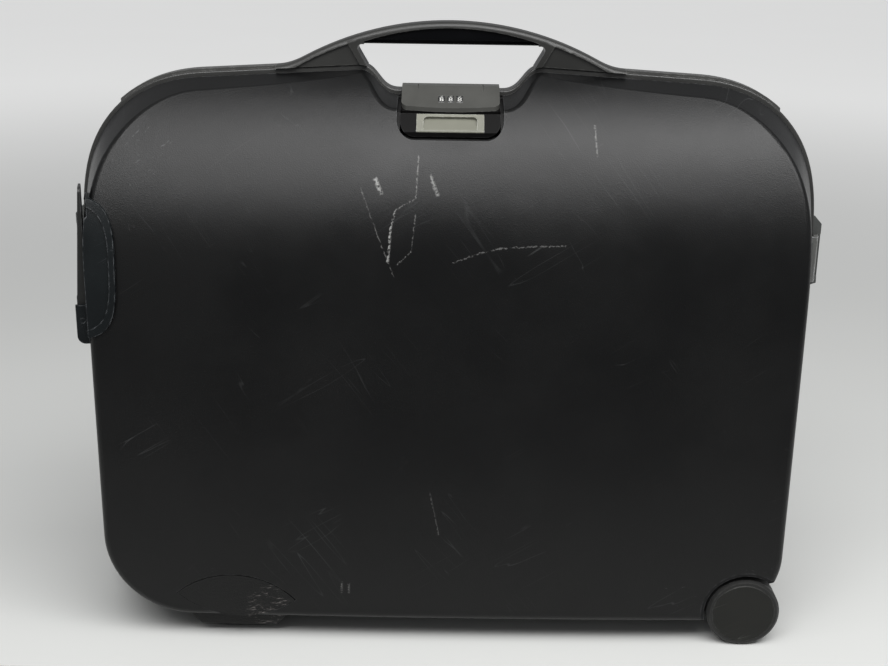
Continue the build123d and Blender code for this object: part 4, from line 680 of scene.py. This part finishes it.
def lining_sheet(half, side):
    surfaces = (surface_of(["lining_" + half]),
                surface_of(["wheel_well_" + half, "wheel_axle_" + half]))
    low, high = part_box("lining_" + half)
    middle = Vector((0, 0, (low.z + high.z) / 2))
    edge = min(abs(low.y), abs(high.y))
    deep = max(abs(low.y), abs(high.y))
    rows = []
    for level in range(WALL_RINGS):
        depth = edge + (deep - WALL_STOPS - edge) * level / (WALL_RINGS - 1)
        row = []
        for step in range(AROUND):
            angle = 2 * math.pi * step / AROUND
            aim = Vector((math.cos(angle), 0, math.sin(angle)))
            start = Vector((0, side * depth, middle.z))
            across = (Vector((0, 1, 0)), aim.cross(Vector((0, 1, 0))))
            row.append((meet(surfaces, start, aim, across), aim))
        rows.append(row)
    return rows, middle, surfaces


def puckered(point, inward, amount):
    """A place moved inwards by soft folds of two sizes."""
    broad = noise.noise(point * 9.0) * 0.5 + 0.5
    fine = noise.noise(point * 34.0 + Vector((3, 1, 7))) * 0.5 + 0.5
    return point + inward * (FOAM + amount * (0.6 * broad + 0.4 * fine))


def build_lining(half, body, side):
    rows, middle, surfaces = lining_sheet(half, side)
    verts, grid = [], []
    last = [None] * AROUND
    for index, row in enumerate(rows):
        ids = []
        for step, (hit, aim) in enumerate(row):
            if hit is None:
                ids.append(grid[-1][step] if grid else None)
                continue
            edge_share = 1.0 - index / len(rows)
            verts.append(puckered(hit, -aim, WALL_PUCKER + EDGE_PUCKER * edge_share))
            last[step] = hit
            ids.append(len(verts) - 1)
        grid.append(ids)
    for share in FACE_RINGS:
        ids = []
        for step in range(AROUND):
            outer = last[step]
            aim = Vector((0, side, 0))
            start = Vector((outer.x * share, 0.0, middle.z + (outer.z - middle.z) * share))
            hit = meet(surfaces, start, aim, (Vector((1, 0, 0)), Vector((0, 0, 1))))
            if hit is None:
                ids.append(grid[-1][step])
                continue
            verts.append(puckered(hit, -aim, FACE_PUCKER))
            ids.append(len(verts) - 1)
        grid.append(ids)
    faces = []
    for one, two in zip(grid, grid[1:]):
        for step in range(AROUND):
            corners = [one[step], one[(step + 1) % AROUND], two[(step + 1) % AROUND], two[step]]
            corners = list(dict.fromkeys(corners))
            if None not in corners and len(corners) > 2:
                faces.append(corners if side > 0 else corners[::-1])
    mesh = bpy.data.meshes.new("lining_cloth_" + half)
    mesh.from_pydata(verts, [], faces)
    mesh.validate()
    mesh.shade_smooth()
    mesh.materials.append(finishes["lining"])
    piece = bpy.data.objects.new("lining_cloth_" + half, mesh)
    scene.collection.objects.link(piece)
    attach(piece, body)
    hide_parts("lining_" + half)


build_lining("front", "lid", -1)
build_lining("back", "case", 1)

# %% [markdown]
# ## The packing straps
# Two webbing straps hold the packing in the back half. Webbing is a flat tape about a
# millimetre thick, so it is modelled as a strip that follows the lining from one edge to the
# other: up the lower wall, along the face, and back along the upper wall. Rays find the strap's
# solid there. A simulation would only erase the tape's edges.

# %% Straps
STRAP_WIDTH = 0.036
ACROSS = [-1, -0.9, -0.5, 0, 0.5, 0.9, 1]
WALL_STEPS, FACE_STEPS = 12, 48
WALL_FROM, WALL_LONG = 0.012, 0.058
FACE_SHORT = 0.03  # the face's part of the strap stays this far from the walls
SIDE_ROOM, TAPE_THICK, TAPE_CROWN, TAPE_SINK = 0.0006, 0.0011, 0.00035, 0.0001


def strap_strip(way):
    """Rows of points across one strap, each with the direction away from the shell."""
    surface = surface_of(["packing_straps"])
    low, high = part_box("packing_straps")
    half_width = STRAP_WIDTH / 2
    middle_x = way * ((high.x - low.x) / 2 - half_width)
    middle_z = (low.z + high.z) / 2
    rows = []
    targets = []
    for step in range(WALL_STEPS + 1):
        targets.append(("wall", WALL_FROM + WALL_LONG * step / WALL_STEPS, -1))
    for step in range(FACE_STEPS + 1):
        height = low.z + FACE_SHORT + (high.z - low.z - 2 * FACE_SHORT) * step / FACE_STEPS
        targets.append(("face", height, 0))
    for step in range(WALL_STEPS + 1):
        targets.append(("wall", WALL_FROM + WALL_LONG - WALL_LONG * step / WALL_STEPS, 1))
    for kind, value, end in targets:
        row = []
        for share in ACROSS:
            x = middle_x + share * (half_width - SIDE_ROOM)
            if kind == "wall":
                hit = surface.ray_cast(Vector((x, value, middle_z)), Vector((0, 0, end)))[0]
                inward = Vector((0, 0, -end))
            else:
                hit = surface.ray_cast(Vector((x, 0.0, value)), Vector((0, 1, 0)))[0]
                inward = Vector((0, -1, 0))
            if hit is None:
                row = None
                break
            row.append((hit, inward))
        if row:
            rows.append(row)
    return rows


def build_strap(way, name):
    rows = strap_strip(way)
    verts, faces = [], []
    count = len(ACROSS)
    for row in rows:
        for (hit, inward), share in zip(row, ACROSS):
            crown = TAPE_CROWN * (1 - share * share)
            verts.append(hit + inward * (crown - TAPE_SINK))
    for row in rows:
        for hit, inward in row:
            verts.append(hit - inward * TAPE_THICK)
    back = len(rows) * count
    for r in range(len(rows) - 1):
        for c in range(count - 1):
            a, b = r * count + c, r * count + c + 1
            d, e = a + count, b + count
            faces.append([a, b, e, d])
            faces.append([back + a, back + d, back + e, back + b])
        for c, flip in ((0, False), (count - 1, True)):
            a, d = r * count + c, (r + 1) * count + c
            quad = [a, d, back + d, back + a]
            faces.append(quad[::-1] if flip else quad)
    for r, flip in ((0, True), (len(rows) - 1, False)):
        for c in range(count - 1):
            a, b = r * count + c, r * count + c + 1
            quad = [a, b, back + b, back + a]
            faces.append(quad[::-1] if flip else quad)
    mesh = bpy.data.meshes.new(name)
    mesh.from_pydata(verts, [], faces)
    mesh.validate()
    mesh.shade_smooth()
    mesh.materials.append(finishes["strap"])
    piece = bpy.data.objects.new(name, mesh)
    scene.collection.objects.link(piece)
    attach(piece, "case")
    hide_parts("packing_straps")


build_strap(-1, "strap_webbing_left")
build_strap(1, "strap_webbing_right")

# %% [markdown]
# ## Floor and light
# The case stands on a plain pale sheet that runs far enough back to fill the picture. Just in
# front of the case the sheet drops one step, so that the opened lid has room to lie down, and
# it ends a little further on, so that the face mirrors the dim room there. A long soft lamp,
# high up in front and a little to the right, gives the band of sheen under the top of the lid,
# a weaker one above it carries the sheen up to the rim, and an even pale sky fills the rest.
# Away from the case, where the lamps' light falls off, the sheet glows a little, but only for
# the rays that come straight from the camera or off a mirror-like surface, so that the
# background is pale while the case gets no more light.

# %% Floor
PAPER_REACH = 20.0
STEP_AT, STEP_DOWN, STEP_SLOPE = -0.15, 0.26, 0.004
PAPER_FRONT = -0.85
PAPER_GLOW = 0.5
GLOW_FROM_TO = (0.7, 4.5)


def floor_finish():
    material, tree, shader = start_finish("paper", 0.1)
    here = surface_point(tree)
    spots = add_node(tree, "ShaderNodeTexNoise", {"Vector": here, "Scale": 1.4})
    colour = blend_colour(tree, spots.outputs["Fac"], (0.60, 0.605, 0.59), (0.64, 0.645, 0.63))
    connect(tree, shader, colour, fade(tree, spots.outputs["Fac"], 0, 1, 0.9, 0.95))
    seen = add_node(tree, "ShaderNodeLightPath")
    looked_at = work_out(tree, "MAXIMUM", seen.outputs["Is Camera Ray"],
                         work_out(tree, "MAXIMUM", seen.outputs["Is Glossy Ray"],
                                  seen.outputs["Is Transmission Ray"]))
    away = add_node(tree, "ShaderNodeVectorMath", {0: here}, operation="LENGTH").outputs["Value"]
    glow = fade(tree, away, *GLOW_FROM_TO, 0.0, PAPER_GLOW)
    shader.inputs["Emission Color"].default_value = (1.0, 1.0, 1.0, 1.0)
    tree.links.new(work_out(tree, "MULTIPLY", looked_at, glow),
                   shader.inputs["Emission Strength"])
    return material


floor_mesh = bpy.data.meshes.new("paper")
profile = [(PAPER_REACH, 0.0), (STEP_AT, 0.0),
           (STEP_AT - STEP_SLOPE, -STEP_DOWN), (PAPER_FRONT, -STEP_DOWN)]
floor_mesh.from_pydata([(x, y, z) for y, z in profile for x in (-PAPER_REACH, PAPER_REACH)],
                       [], [(i, i + 2, i + 3, i + 1) for i in (0, 2, 4)])
floor_mesh.materials.append(floor_finish())
floor = bpy.data.objects.new("paper", floor_mesh)
scene.collection.objects.link(floor)
print("floor with", len(floor_mesh.polygons), "faces")

# %% [markdown]
# ## Lamps and sky
# Both lamps are rectangles much longer than the case, aimed at the upper part of the lid, so
# that the sheen runs from one shoulder to the other without an end. The sky is a plain tone:
# dim where it lights the case and shows in its gloss, and pale where the camera sees it.

# %% Lamps and sky
LAMP_AIM = (0.0, -0.05, 0.45)
SKY_LIGHT, SKY_SEEN = 0.3, 0.85


def soft_lamp(name, place, width, depth, power):
    light = bpy.data.lights.new(name, "AREA")
    light.shape = "RECTANGLE"
    light.size, light.size_y = width, depth
    light.energy = power
    lamp = bpy.data.objects.new(name, light)
    scene.collection.objects.link(lamp)
    lamp.location = place
    turn = (Vector(LAMP_AIM) - Vector(place)).to_track_quat("-Z", "Y")
    lamp.rotation_euler = turn.to_euler()


soft_lamp("lamp_front", (0.3, -1.3, 2.05), 3.6, 0.8, 70.0)
soft_lamp("lamp_above", (0.1, -0.62, 2.45), 2.8, 0.7, 18.0)
world = bpy.data.worlds.new("sky")
scene.world = world
world.use_nodes = True
sky_tree = world.node_tree
seen = add_node(sky_tree, "ShaderNodeLightPath")
direct = work_out(sky_tree, "MAXIMUM", seen.outputs["Is Camera Ray"],
                  seen.outputs["Is Transmission Ray"])
strength = fade(sky_tree, direct, 0.0, 1.0, SKY_LIGHT, SKY_SEEN)
sky_tree.nodes["Background"].inputs["Color"].default_value = (0.97, 0.98, 1.0, 1.0)
sky_tree.links.new(strength, sky_tree.nodes["Background"].inputs["Strength"])
scene.view_settings.view_transform = "Standard"
